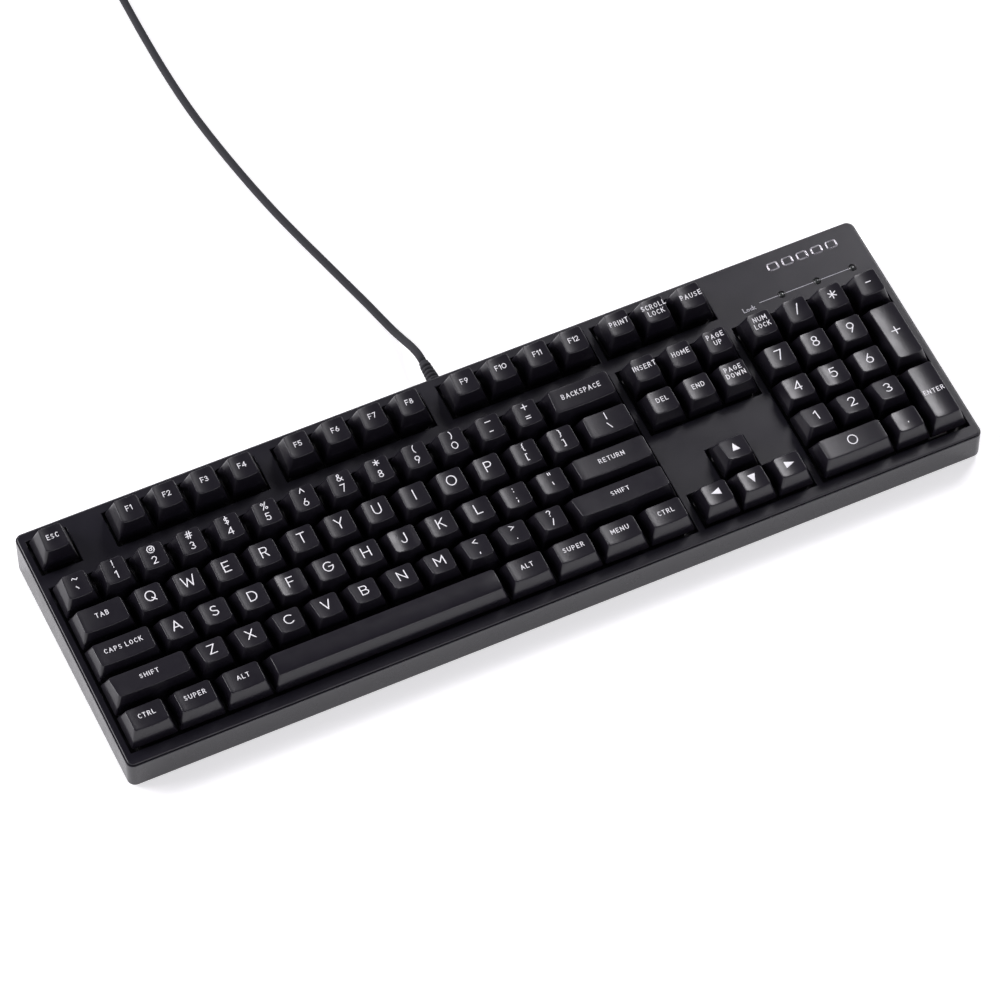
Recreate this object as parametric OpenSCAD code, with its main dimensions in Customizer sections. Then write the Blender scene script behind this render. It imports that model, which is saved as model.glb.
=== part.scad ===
// Full-size mechanical keyboard: 104 sculpted keys on cross-stem switches, a steel
// mounting plate, a two-part case, folding rear feet and a corded USB plug.
// World frame: X runs to the right, Y to the back, Z up. The origin is under the
// middle of the keyboard at desk level. The deck frame is the world frame turned by
// deck_tilt about the case's top front edge, so a key goes straight down in it.

/* [Case] */
// Width of the deck beside the outermost keys' squares
side_margin = 4.7; // [4.4:0.1:9]
// Width of the deck in front of the space bar's square
front_margin = 7.5; // [5:0.5:12]
// Width of the deck behind the function row's squares
back_margin = 6.05; // [5.5:0.05:12]
// Height of the top front edge above the desk
front_h = 18.5; // [17.5:0.5:26]
// Slope of the deck, in degrees
deck_tilt = 2.5; // [1:0.5:6]
// Radius of the case's corners in plan
corner_r = 4; // [3:0.5:12]
// Thickness of the lower shell's side walls
wall_t = 2.6; // [2:0.1:3]
// Thickness of the lower shell's floor
floor_t = 2.5; // [2:0.1:2.9]
// Thickness of the deck cover
cover_t = 2.4; // [1.8:0.1:3]
// Width of the open seam between the deck cover and the lower shell
seam_w = 0.8; // [0.4:0.1:1.2]
// Depth of the open seam below the deck
seam_d = 1.0; // [0.6:0.1:1.4]

/* [Key layout] */
// Distance from one key to the next
pitch = 19.05; // [18.6:0.05:19.2]
// Width of the deck between the number row and the function row
function_strip = 9.15; // [8.5:0.05:14]
// Gap between a well's edge and the keys' own squares
well_gap = 0.6; // [0.3:0.1:0.9]
// Thickness of the skirt that hangs round each well
skirt_t = 1.2; // [0.8:0.1:1.6]

/* [Keycaps] */
// Gap between neighbouring caps
cap_gap = 0.95; // [0.8:0.05:1.4]
// Thickness of a cap's side walls
cap_wall = 1.5; // [1.2:0.1:1.7]
// Thickness of a cap's top before it is dished
cap_top_t = 2.2; // [2:0.1:2.6]
// Depth of the dish in a cap's top
dish_depth = 0.7; // [0.3:0.1:0.8]
// Radius of the space bar's crowned top, seen from the side
crown_r = 22; // [18:1:40]
// Height of the caps' skirts above the deck
skirt_z = 0.8; // [0.6:0.1:1.6]
// Distance that a key goes down
key_travel = 4; // [3:0.1:4.2]

/* [Switches] */
// Depth of the mounting plate's top face below the deck
plate_drop = 5.6; // [5.4:0.1:5.8]
// Thickness of the steel mounting plate
plate_t = 1.5; // [1.2:0.1:1.6]
// Side of the square hole that a switch snaps into
switch_hole = 14; // [13.9:0.05:14.1]
// Gap on each side between a switch and its hole
switch_clear = 0.1; // [0.05:0.05:0.15]
// Length of an arm of the slider's cross
cross_l = 4; // [3.8:0.1:4.1]
// Thickness of an arm of the slider's cross
cross_t = 1.2; // [1:0.05:1.3]
// Gap on each side between the cross and its slot
cross_clear = 0.05; // [0.03:0.01:0.1]
// Radius of the slider's guide pole
pole_r = 1; // [0.8:0.05:1.05]

/* [Stabilisers] */
// Gap between a wide key's switch and its stabilisers
stab_gap = 0.84; // [0.7:0.02:1.1]
// Distance from the middle of the space bar to its stabilisers
space_stab_reach = 50; // [45:1:52]
// Radius of a stabiliser's wire
wire_r = 0.8; // [0.6:0.05:0.8]

/* [Circuit board] */
// Thickness of the circuit board
board_t = 1.6; // [1.2:0.1:1.8]
// Radius of an indicator light
led_r = 1.5; // [1.2:0.1:1.6]
// Distance of the indicator lights behind the keypad's squares
led_back = 8.5; // [6:0.5:14]
// Distance of the indicator lights to the right of the keypad columns' middles
led_shift = 1.8; // [0:0.1:4]

/* [Feet and screws] */
// Height of the rubber pads that the case stands on
pad_h = 1.3; // [1:0.1:2]
// Length of a folding foot from its hinge to its tip
foot_l = 18; // [15:0.5:20]
// Width of a folding foot
foot_w = 36; // [28:1:44]
// Thickness of a folding foot
foot_t = 4; // [3.4:0.2:4.4]
// Radius of a folding foot's hinge pins
foot_pin_r = 1.2; // [1:0.1:1.4]
// Radial gap between a hinge pin and its bore
pin_clear = 0.06; // [0.03:0.01:0.1]
// Distance of the hinge pins from the case's back face
foot_back = 16; // [14:1:20]
// Radius of a case screw's shank
screw_r = 1.2; // [1:0.1:1.4]
// Radius of a case screw's head
screw_head_r = 2.6; // [2.2:0.1:2.8]

/* [Cable] */
// Diameter of the cable
cable_d = 4; // [3.5:0.1:4.5]
// Height of the cable's outlet above the desk
outlet_z = 9.5; // [9:0.5:10]
// Length of the tapered strain relief outside the case
relief_l = 20; // [16:1:24]
// Length of the moulded plug body
plug_l = 36; // [30:1:40]

/* [Hidden] */
eps = 0.01;
far = 600;
black = [0.13, 0.12, 0.14];

// Whole size of the case, worked out from the keys' squares and the deck round them.
board_units = 22.5;
case_w = board_units * pitch + 2 * side_margin;
case_d = front_margin + 6 * pitch + function_strip + back_margin;

// Deck heights, each measured from the top of the deck cover.
plate_z = -plate_drop;
board_z = plate_z - 5;
board_low = board_z - board_t;
flange_h = 1;
housing_top = plate_z + 6.6;
slider_top = housing_top + 3.6;
slider_base = housing_top + 0.3;
socket_z = slider_base + 0.2;
housing_w = switch_hole - 2 * switch_clear;
flange_w = switch_hole + 1.6;
well_floor = board_z + 1;
shoulder_z = housing_top - 1.3;
shoulder_h = 2;
bore_gap = 0.12;
post_r = 1.55;
peg_r = 1.95;

// Rows run from 0, the function row, to 5, the space bar's row.
cap_h = [12.2, 11.9, 10.2, 9.6, 10.5, 10.1];
cap_slope = [8, 8, 3, -2, -10, -1];
front_taper = [0.24, 0.25, 0.25, 0.24, 0.2, 0.25];
back_taper = [0.28, 0.28, 0.33, 0.38, 0.37, 0.38];
side_taper = 0.28;

// A key is [row, first column, width, height], the last three in key units.
function key(row, col, w = 1, h = 1) = [row, col, w, h];
function run(row, col, count) = [for (i = [0:count - 1]) key(row, col + i)];
function join(lists) = [for (l = lists) for (v = l) v];

KEY_GROUPS = [
    ["escape_key", [key(0, 0)]],
    ["f1_to_f4_keys", run(0, 2, 4)],
    ["f5_to_f8_keys", run(0, 6.5, 4)],
    ["f9_to_f12_keys", run(0, 11, 4)],
    ["print_scroll_pause_keys", run(0, 15.25, 3)],
    ["number_keys_left", run(1, 0, 6)],
    ["number_keys_right", run(1, 6, 7)],
    ["backspace_key", [key(1, 13, 2)]],
    ["tab_key", [key(2, 0, 1.5)]],
    ["letter_keys_upper_left", run(2, 1.5, 5)],
    ["letter_keys_upper_right", concat(run(2, 6.5, 7), [key(2, 13.5, 1.5)])],
    ["caps_lock_key", [key(3, 0, 1.75)]],
    ["letter_keys_home_left", run(3, 1.75, 5)],
    ["letter_keys_home_right", run(3, 6.75, 6)],
    ["return_key", [key(3, 12.75, 2.25)]],
    ["shift_key_left", [key(4, 0, 2.25)]],
    ["letter_keys_lower_left", run(4, 2.25, 5)],
    ["letter_keys_lower_right", run(4, 7.25, 5)],
    ["shift_key_right", [key(4, 12.25, 2.75)]],
    ["ctrl_key_left", [key(5, 0, 1.25)]],
    ["system_key_left", [key(5, 1.25, 1.25)]],
    ["alt_key_left", [key(5, 2.5, 1.25)]],
    ["space_bar", [key(5, 3.75, 6.25)]],
    ["alt_key_right", [key(5, 10, 1.25)]],
    ["system_key_right", [key(5, 11.25, 1.25)]],
    ["menu_key", [key(5, 12.5, 1.25)]],
    ["ctrl_key_right", [key(5, 13.75, 1.25)]],
    ["editing_keys", concat(run(1, 15.25, 3), run(2, 15.25, 3))],
    ["arrow_key_up", [key(4, 16.25)]],
    ["arrow_key_left", [key(5, 15.25)]],
    ["arrow_key_down", [key(5, 16.25)]],
    ["arrow_key_right", [key(5, 17.25)]],
    ["keypad_top_keys", run(1, 18.5, 4)],
    ["keypad_digit_keys", concat(run(2, 18.5, 3), run(3, 18.5, 3), run(4, 18.5, 3), [key(5, 20.5)])],
    ["keypad_plus_key", [key(3, 21.5, 1, 2)]],
    ["keypad_enter_key", [key(5, 21.5, 1, 2)]],
    ["keypad_zero_key", [key(5, 18.5, 2)]],
];
KEYS = join([for (g = KEY_GROUPS) g[1]]);

// Wells in the deck, as keys whose squares they open: [row, column, width, height].
WELLS = [
    key(0, 0), key(0, 2, 4), key(0, 6.5, 4), key(0, 11, 4), key(0, 15.25, 3),
    key(5, 0, 15, 5), key(2, 15.25, 3, 2), key(5, 15.25, 3), key(4, 16.25), key(5, 18.5, 4, 5),
];

function row_y(row) = front_margin + (5.5 - row) * pitch + (row == 0 ? function_strip : 0);
function key_x(k) = (k[1] + k[2] / 2 - board_units / 2) * pitch;
function key_y(k) = row_y(k[0]) + (k[3] - 1) * pitch / 2;
function stabilised(k) = max(k[2], k[3]) >= 2;
function stab_turn(k) = k[3] > k[2] ? 90 : 0;

// Width and length of a stabiliser's housing.
stab_w = 6.6;
stab_l = 12;
stab_reach = flange_w / 2 + stab_gap + stab_w / 2;
function reach(k) = k[2] > 6 ? space_stab_reach : stab_reach;

screw_row_y = (row_y(0) + row_y(1)) / 2;
SCREWS = [
    [14 - case_w / 2, screw_row_y], [-70, screw_row_y], [60, screw_row_y],
    [key_x(key(1, 17.875)), screw_row_y], [key_x(key(3, 16.25)), row_y(3)],
];
LEDS = [for (c = [19.5, 20.5, 21.5]) [key_x(key(1, c)) + led_shift, row_y(1) + pitch / 2 + led_back]];

// The case stands on two pads at its front corners and two beside the folding feet.
foot_x = case_w / 2 - 50;
front_pad_x = case_w / 2 - 34;
back_pad_x = foot_x - foot_w / 2 - 31;
pad_edge = 9;
PADS = [for (s = [-1, 1], p = [[front_pad_x, pad_edge], [back_pad_x, case_d - pad_edge]]) [s * p[0], p[1]]];
pad_l = 22;
pad_w = 8;

hinge_y = case_d - foot_back;
hinge_z = pad_h + foot_t / 2 + 0.5;
foot_gap = 0.6;
pocket_wall = 2.4;
pin_l = 1.6;
pocket_top = hinge_z + foot_t / 2 + foot_gap;

// The cable leaves the outlet, comes down to the desk, runs back and enters a coil. A point of
// the route is its x, its distance back from the strain relief's end, and its rise: 0 lying on
// the desk and 1 at the outlet's height.
lead_start = case_d / 2 + relief_l;
relief_flange = 1.2;
coil_at = [-8, lead_start + 313.5];
coil_inner = 15;
coil_outer = 31;
LEAD_SHAPE = [
    [0, 0, 1], [0, 5.5, 0.947], [-0.5, 12.5, 0.693], [-1.5, 20.5, 0.293], [-3, 28.5, 0.053],
    [-5, 37.5, 0], [-7.5, 48.5, 0], [-11, 62.5, 0], [-15.5, 80.5, 0], [-20.5, 100.5, 0],
    [-25.5, 122.5, 0], [-30, 146.5, 0], [-34, 172.5, 0], [-37, 198.5, 0], [-38.5, 224.5, 0],
    [-39, 250.5, 0], [-39, 276.5, 0], [-39, 302.5, 0],
];
LEAD = [for (p = LEAD_SHAPE) [p[0], lead_start + p[1], cable_d / 2 + p[2] * (outlet_z - cable_d / 2)]];
// From the coil's upper layer down to the desk and on to the plug. Here a point's rise is 0 on
// the desk and 1 on the upper layer.
TAIL_SHAPE = [
    [-39, 313.5, 1], [-39, 321.5, 0.85], [-38, 330.5, 0.45], [-35, 339.5, 0.125],
    [-29, 347.5, 0], [-21, 353, 0.1], [-13, 355, 0.35], [-6, 355.5, 0.5],
];
TAIL = [for (p = TAIL_SHAPE) [p[0], lead_start + p[1], cable_d * (0.5 + p[2])]];
tube_sides = 8;
ring_step = 9;

// Places below are measured back from the case's front face; these put them in the world.
module on_desk() translate([0, -case_d / 2, 0]) children();
module on_deck() on_desk() translate([0, 0, front_h]) rotate([deck_tilt, 0, 0]) children();

// The same for a point: its distance back from the front face and its height above the desk.
function deck_back(y, z) = y * cos(deck_tilt) - z * sin(deck_tilt);
function deck_height(y, z) = front_h + y * sin(deck_tilt) + z * cos(deck_tilt);

// Flat rectangle with round corners, from the front edge backwards.
module plan(w, d, r, y = 0)
    translate([0, y + d / 2]) union() {
        square([w - 2 * r, d], center = true);
        square([w, d - 2 * r], center = true);
        for (sx = [-1, 1], sy = [-1, 1])
            translate([sx * (w / 2 - r), sy * (d / 2 - r)]) circle(r, $fn = 64);
    }

// The outline brought in by a distance on every side.
module outline(inset) plan(case_w - 2 * inset, case_d - 2 * inset, max(corner_r - inset, 0.4), inset);

module well_shapes(grow)
    for (k = WELLS)
        translate([key_x(k), key_y(k)])
            square([k[2] * pitch + 2 * grow, k[3] * pitch + 2 * grow], center = true);

module post(at, r, low, high) translate([at[0], at[1], low]) cylinder(r = r, h = high - low, $fn = 32);

module slab(low, high) translate([0, 0, low]) linear_extrude(high - low) children();

// Distance of the case's underside below the deck at a place from front to back.
function underside(y) = front_h + y * sin(deck_tilt) - pad_h;
function screw_seat(y) = 2.9 - underside(y);

/* ---- Case ---- */

module top_case() color(black) on_deck() difference() {
    union() {
        slab(-seam_d, 0) outline(seam_w);
        slab(-cover_t, -seam_d + eps) outline(wall_t + 0.2);
        slab(plate_z + 0.3, -cover_t + eps) well_shapes(well_gap + skirt_t);
        for (s = SCREWS) post(s, screw_r + 2, screw_seat(s[1]) + 2, -cover_t + eps);
    }
    slab(plate_z, 1) well_shapes(well_gap);
    for (s = SCREWS) post(s, screw_r + 0.05, screw_seat(s[1]), -7);
    for (l = LEDS) post(l, led_r + 0.1, -cover_t - 1, 1);
}

// Solid round a folding foot's pocket, and the pocket itself.
module foot_block(side) {
    x = foot_w + 2 * (foot_gap + pocket_wall);
    translate([side * foot_x - x / 2, hinge_y - foot_l - foot_gap - pocket_wall, pad_h])
        cube([x, foot_l + foot_t / 2 + 2 * (foot_gap + pocket_wall), pocket_top + pocket_wall - 0.4 - pad_h]);
}

module foot_pocket(side) {
    x = foot_w + 2 * foot_gap;
    translate([side * foot_x - x / 2, hinge_y - foot_l - foot_gap, pad_h - 1])
        cube([x, foot_l + foot_t / 2 + 2 * foot_gap, pocket_top - pad_h + 1]);
    translate([side * foot_x, hinge_y, hinge_z]) rotate([0, 90, 0])
        cylinder(r = foot_pin_r + pin_clear, h = foot_w + 2 * pin_l + 0.6, center = true, $fn = 48);
}

module bottom_case() color([0.3, 0.29, 0.31]) difference() {
    union() {
        difference() {
            on_desk() translate([0, 0, pad_h]) linear_extrude(far) outline(0);
            on_desk() translate([0, 0, pad_h + floor_t]) linear_extrude(far) outline(wall_t);
            on_deck() translate([-far / 2, -far / 2, -seam_d]) cube([far, far, 2 * far]);
        }
        on_desk() for (side = [-1, 1]) foot_block(side);
        intersection() {
            on_deck() for (s = SCREWS) post(s, 4.2, -far / 4, screw_seat(s[1]) + 1.9);
            on_desk() translate([0, 0, pad_h]) linear_extrude(far) outline(1);
        }
    }
    on_desk() for (side = [-1, 1]) foot_pocket(side);
    on_deck() for (s = SCREWS) {
        post(s, screw_r + 0.4, -far / 4, 0);
        post(s, screw_head_r + 0.4, -far / 4, screw_seat(s[1]));
    }
    on_desk() translate([0, case_d - wall_t / 2, outlet_z]) rotate([90, 0, 0])
        cylinder(r = cable_d / 2 + 1.7, h = 2 * wall_t, center = true, $fn = 48);
}

module case_screws() color("silver") on_deck() for (s = SCREWS) {
    post(s, screw_r, screw_seat(s[1]) - eps, -8);
    post(s, screw_head_r, screw_seat(s[1]) - 1.7, screw_seat(s[1]));
}

module rubber_feet() color([0.08, 0.08, 0.08]) on_desk() for (p = PADS)
    translate([p[0], p[1], 0]) linear_extrude(pad_h) union() {
        square([pad_l - pad_w, pad_w], center = true);
        for (s = [-1, 1]) translate([s * (pad_l - pad_w) / 2, 0]) circle(pad_w / 2, $fn = 40);
    }

// A folding foot lies flat in its pocket, with its tip towards the front.
module folding_foot(side) color(black) on_desk() translate([side * foot_x, hinge_y, hinge_z]) {
    translate([-foot_w / 2, -foot_l, -foot_t / 2]) cube([foot_w, foot_l, foot_t]);
    rotate([0, 90, 0]) cylinder(r = foot_t / 2, h = foot_w, center = true, $fn = 48);
    rotate([0, 90, 0]) cylinder(r = foot_pin_r, h = foot_w + 2 * pin_l, center = true, $fn = 48);
}

/* ---- Plate, board and switches ---- */

module at_keys() for (k = KEYS) translate([key_x(k), key_y(k), 0]) children();

// Both stabilisers of each wide key.
module at_stabilisers() for (k = KEYS) if (stabilised(k)) for (s = [-1, 1])
    translate([key_x(k), key_y(k), 0]) rotate([0, 0, stab_turn(k)]) translate([s * reach(k), 0, 0])
        children();

module mounting_plate() color([0.3, 0.3, 0.32]) on_deck() slab(plate_z - plate_t, plate_z)
    difference() {
        plan(case_w - 2 * wall_t - 2.4, case_d - 2 * wall_t - 2.4, 3, wall_t + 1.2);
        at_keys() square(switch_hole, center = true);
        at_stabilisers() square([stab_w + 0.2, stab_l + 0.2], center = true);
        for (s = SCREWS) translate(s) circle(screw_r + 2.4, $fn = 32);
        for (l = LEDS) translate(l) circle(led_r + 0.4, $fn = 32);
    }

module circuit_board() color([0.08, 0.3, 0.16]) on_deck() slab(board_low, board_z)
    difference() {
        plan(case_w - 2 * wall_t - 3.4, case_d - 2 * wall_t - 3.4, 3, wall_t + 1.7);
        at_keys() circle(peg_r + 0.15, $fn = 32);
        for (s = SCREWS) translate(s) circle(screw_r + 2.4, $fn = 32);
    }

module block(w, d, low, high) translate([0, 0, (low + high) / 2]) cube([w, d, high - low], center = true);

// A straight-sided taper from one rectangle up to a smaller one.
module taper(low_w, high_w, low, high) {
    a = low_w / 2;
    b = high_w / 2;
    polyhedron(
        [[-a, -a, low], [a, -a, low], [a, a, low], [-a, a, low],
         [-b, -b, high], [b, -b, high], [b, b, high], [-b, b, high]],
        [[0, 1, 2, 3], [4, 7, 6, 5], [0, 4, 5, 1], [1, 5, 6, 2], [2, 6, 7, 3], [3, 7, 4, 0]]);
}

module switch_lower_housings() color([0.1, 0.1, 0.11]) on_deck() at_keys() difference() {
    union() {
        difference() {
            union() {
                block(housing_w, housing_w, board_z, plate_z + eps);
                block(flange_w, flange_w, plate_z, plate_z + flange_h);
            }
            block(housing_w - 2.2, housing_w - 2.2, well_floor, plate_z + flange_h + 1);
        }
        post([0, 0], post_r, well_floor - eps, well_floor + 2.7);
        post([0, 0], peg_r, board_low - 0.8, board_z + eps);
    }
    post([0, 0], pole_r + bore_gap, board_low, well_floor + 3);
}

module switch_upper_housings() color([0.12, 0.12, 0.13]) on_deck() at_keys() {
    low = plate_z + flange_h;
    difference() {
        taper(flange_w - 1.6, flange_w - 4.8, low, housing_top);
        taper(flange_w - 3.6, flange_w - 6.4, low - 0.1, housing_top - 1.2);
        block(7.4, 6, housing_top - 2, housing_top + 1);
    }
}

module switch_springs() color("silver") on_deck() at_keys() difference() {
    post([0, 0], 2.05, well_floor, shoulder_z - shoulder_h - 0.05);
    post([0, 0], 1.7, well_floor - 1, shoulder_z);
}

module cross_post(low, high, grow = 0) {
    block(cross_l + 2 * grow, cross_t + 2 * grow, low, high);
    block(cross_t + 2 * grow, cross_l + 2 * grow, low, high);
}

module switch_slider() {
    block(7, 5.6, shoulder_z - shoulder_h, slider_base);
    block(9, 5.6, shoulder_z - shoulder_h, shoulder_z);
    cross_post(slider_base - eps, slider_top);
    post([0, 0], pole_r, board_low + key_travel + 0.6, shoulder_z - shoulder_h + eps);
}

/* ---- Stabilisers ---- */

// A stabiliser's housing ends below the cap's socket at the bottom of the key's travel, and its
// slot is deep enough for the slider there.
stab_top = socket_z - key_travel - 0.4;
stab_slot_floor = board_z + 1.6;
stab_slot_w = 4.4;
stab_slot_l = 6.4;

module stabiliser_housings() color([0.14, 0.14, 0.15]) on_deck() at_stabilisers() difference() {
    block(stab_w, stab_l, board_z + 0.8, stab_top);
    block(stab_slot_w, stab_slot_l, stab_slot_floor, stab_top + 1);
}

module stabiliser_slider() {
    block(stab_slot_w - 0.4, stab_slot_l - 0.4, stab_slot_floor + key_travel + 0.4, slider_base);
    cross_post(slider_base - eps, slider_top);
}

wire_back = flange_w / 2 + wire_r + 0.15;
wire_z = plate_z + wire_r + 0.45;

module rod(from, to, r) {
    v = to - from;
    translate(from) rotate([0, acos(v[2] / norm(v)), atan2(v[1], v[0])])
        cylinder(r = r, h = norm(v), $fn = 24);
}

module stabiliser_wires() color("silver") on_deck() for (k = KEYS) if (stabilised(k))
    translate([key_x(k), key_y(k), wire_z]) rotate([0, 0, stab_turn(k)]) {
        a = reach(k) + stab_w / 2 + wire_r + 0.2;
        rod([-a, wire_back, 0], [a, wire_back, 0], wire_r);
        for (s = [-a, a]) {
            rod([s, 0, 0], [s, wire_back, 0], wire_r);
            translate([s, wire_back, 0]) sphere(wire_r, $fn = 24);
        }
    }

/* ---- Keys ---- */

// A keycap's outer or inner form: flat sides that lean in and a top that slopes with its row.
// low is the height of its base, w and d its size at height 0, top its height in the middle.
module cap_form(row, w, d, top, low) {
    s = tan(cap_slope[row]);
    kf = front_taper[row];
    kb = back_taper[row];
    zf = (top - s * d / 2) / (1 - s * kf);
    zb = (top + s * d / 2) / (1 + s * kb);
    function side(z) = w / 2 - side_taper * z;
    function face(z) = -d / 2 + kf * z;
    function rear(z) = d / 2 - kb * z;
    polyhedron(
        [[-side(low), face(low), low], [side(low), face(low), low],
         [side(low), rear(low), low], [-side(low), rear(low), low],
         [-side(zf), face(zf), zf], [side(zf), face(zf), zf],
         [side(zb), rear(zb), zb], [-side(zb), rear(zb), zb]],
        [[0, 1, 2, 3], [4, 7, 6, 5], [0, 4, 5, 1], [1, 5, 6, 2], [2, 6, 7, 3], [3, 7, 4, 0]]);
}

// The round-bottomed dish that fingertips find, cut along the key from front to back.
module cap_dish(row, w, top) {
    half = w / 2 - side_taper * top;
    r = (half * half + dish_depth * dish_depth) / (2 * dish_depth);
    translate([0, 0, top]) rotate([cap_slope[row], 0, 0]) translate([0, 0, r - dish_depth])
        rotate([90, 0, 0]) cylinder(r = r, h = 80, center = true, $fn = max(64, 8 * r));
}

// A cap's outer form: crowned on the space bar, dished on every other key.
module cap_shell(k, w, d, top) {
    if (k[2] > 6) intersection() {
        cap_form(k[0], w, d, top, 0);
        translate([0, 0, top - crown_r]) rotate([0, 90, 0])
            cylinder(r = crown_r, h = w, center = true, $fn = 128);
    }
    else difference() {
        cap_form(k[0], w, d, top, 0);
        cap_dish(k[0], w, top);
    }
}

module keycap(k) {
    w = k[2] * pitch - cap_gap;
    d = k[3] * pitch - cap_gap;
    top = cap_h[k[0]];
    sockets = stabilised(k) ? [-reach(k), 0, reach(k)] : [0];
    translate([0, 0, skirt_z]) difference() {
        union() {
            difference() {
                cap_shell(k, w, d, top);
                cap_form(k[0], w - 2 * cap_wall, d - 2 * cap_wall, top - cap_top_t, -1);
            }
            rotate([0, 0, stab_turn(k)]) for (x = sockets)
                post([x, 0], 2.75, socket_z - skirt_z, top - cap_top_t + 0.7);
        }
        rotate([0, 0, stab_turn(k)]) for (x = sockets) translate([x, 0, 0])
            cross_post(0, slider_top + 0.15 - skirt_z, cross_clear);
    }
}

module key_group(keys) on_deck() for (k = keys) translate([key_x(k), key_y(k), 0]) {
    color(black) keycap(k);
    color("saddlebrown") switch_slider();
    if (stabilised(k)) color(black) rotate([0, 0, stab_turn(k)]) for (s = [-1, 1])
        translate([s * reach(k), 0, 0]) stabiliser_slider();
}

/* ---- Electronics ---- */

module indicator_leds() color([0.75, 0.9, 0.75]) on_deck() for (l = LEDS) {
    post(l, led_r, board_z, -0.4 - led_r);
    translate([l[0], l[1], -0.4 - led_r]) sphere(led_r, $fn = 32);
}

module controller_chip() color([0.06, 0.06, 0.07]) on_deck() {
    translate([-30, screw_row_y, 0]) block(10, 10, board_low - 1.2, board_low);
    translate([-18, screw_row_y, 0]) block(5, 3.2, board_low - 1.4, board_low);
}

// The board's socket stands beside the peg of the function key nearest to the outlet. The lead's
// plug goes into its back, and the lead's wires run from there to the strain relief.
lead_socket_w = 14;
lead_socket_h = 4.2;
lead_socket_d = 6;
lead_plug_d = 4;
lead_plug_gap = 0.1;
lead_socket_x = key_x(key(0, 11)) - peg_r - 0.8 - lead_socket_w / 2;
lead_socket_y = case_d - 16;

module board_socket() color([0.9, 0.88, 0.8]) on_deck() translate([lead_socket_x, lead_socket_y, 0])
    block(lead_socket_w, lead_socket_d, board_low - lead_socket_h, board_low);

module inner_lead() color(black) {
    from = lead_socket_y + lead_socket_d / 2 + lead_plug_gap;
    mid = board_low - lead_socket_h / 2;
    end = from + lead_plug_d;
    on_deck() translate([lead_socket_x, from + lead_plug_d / 2, 0])
        block(lead_socket_w, lead_plug_d, board_low - lead_socket_h, board_low - 0.2);
    on_desk() rod(
        [0, deck_back(end - 0.5, mid), deck_height(end - 0.5, mid)],
        [0, case_d - wall_t - relief_flange, outlet_z], cable_d / 2 - 0.2);
}

/* ---- Cable ---- */

module strain_relief() color(black) on_desk() translate([0, case_d, outlet_z]) rotate([-90, 0, 0]) {
    translate([0, 0, -wall_t - relief_flange]) cylinder(r = cable_d / 2 + 2.6, h = relief_flange, $fn = 48);
    translate([0, 0, -wall_t - eps]) cylinder(r = cable_d / 2 + 1.6, h = wall_t + 2 * eps, $fn = 48);
    cylinder(r = cable_d / 2 + 2.2, h = 1.6, $fn = 48);
    translate([0, 0, 1.6 - eps])
        cylinder(r1 = cable_d / 2 + 1.5, r2 = cable_d / 2 + 0.4, h = relief_l - 1.6 + eps, $fn = 48);
}

// Point of a Catmull-Rom curve through the route's points, t from 0 to the last point's index.
function bend(p, t) =
    let (i = min(floor(t), len(p) - 2), u = t - i, a = p[max(i - 1, 0)], b = p[i], c = p[i + 1],
         d = p[min(i + 2, len(p) - 1)])
    0.5 * (2 * b + (c - a) * u + (2 * a - 5 * b + 4 * c - d) * u * u + (3 * b - a - 3 * c + d) * u * u * u);
function route_length(p) = len(p) < 2 ? 0 : norm(p[1] - p[0]) + route_length([for (i = [1:1:len(p) - 1]) p[i]]);
function unit(v) = v / norm(v);

// A tube of cable_d swept along a route, with flat ends.
module tube(p) {
    rings = ceil(route_length(p) / ring_step);
    last = len(p) - 1;
    function ring(i) =
        let (t = i * last / rings, at = bend(p, t),
             way = unit(bend(p, min(t + 0.02, last)) - bend(p, max(t - 0.02, 0))),
             across = unit(cross(way, [0, 0, 1])), over = cross(across, way))
        [for (j = [0:tube_sides - 1])
            at + cable_d / 2 * (cos(j * 360 / tube_sides) * across + sin(j * 360 / tube_sides) * over)];
    points = join([for (i = [0:rings]) ring(i)]);
    sides = [for (i = [0:rings - 1], j = [0:tube_sides - 1])
        let (n = (j + 1) % tube_sides, a = i * tube_sides, b = a + tube_sides) [a + j, b + j, b + n, a + n]];
    polyhedron(points, concat(sides, [
        [for (j = [0:tube_sides - 1]) j],
        [for (j = [tube_sides - 1:-1:0]) rings * tube_sides + j]]));
}

module cable() color(black) {
    tube(LEAD);
    tube(TAIL);
}

module cable_coil() color(black) translate([coil_at[0], coil_at[1], 0]) rotate_extrude($fn = 72)
    translate([coil_inner - cable_d / 2, 0]) square([coil_outer - coil_inner + cable_d, 2 * cable_d]);

// A strap round the coil's section, on its right-hand side.
module cable_tie() color([0.05, 0.05, 0.05]) translate([coil_at[0], coil_at[1], 0]) difference() {
    translate([coil_inner - 3, -5, 0]) cube([coil_outer - coil_inner + 6, 10, 2 * cable_d + 0.9]);
    translate([coil_inner - 2.1, -6, 0.8]) cube([coil_outer - coil_inner + 4.2, 12, 2 * cable_d - 0.8]);
}

plug_at = TAIL[len(TAIL) - 1];

module usb_plug_body() color(black) translate(plug_at) rotate([0, 90, 0]) {
    cylinder(r1 = cable_d / 2 + 0.3, r2 = 3.4, h = 11, $fn = 48);
    translate([0, 0, 11 - eps]) linear_extrude(plug_l - 11) square([8, 15.6], center = true);
}

module usb_plug_shell() color("silver") translate(plug_at + [plug_l - eps, 0, 0]) difference() {
    translate([0, -6, -2.25]) cube([18.7, 12, 4.5]);
    translate([1, -5.6, 0]) cube([18.7, 11.2, 1.9]);
}

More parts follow.
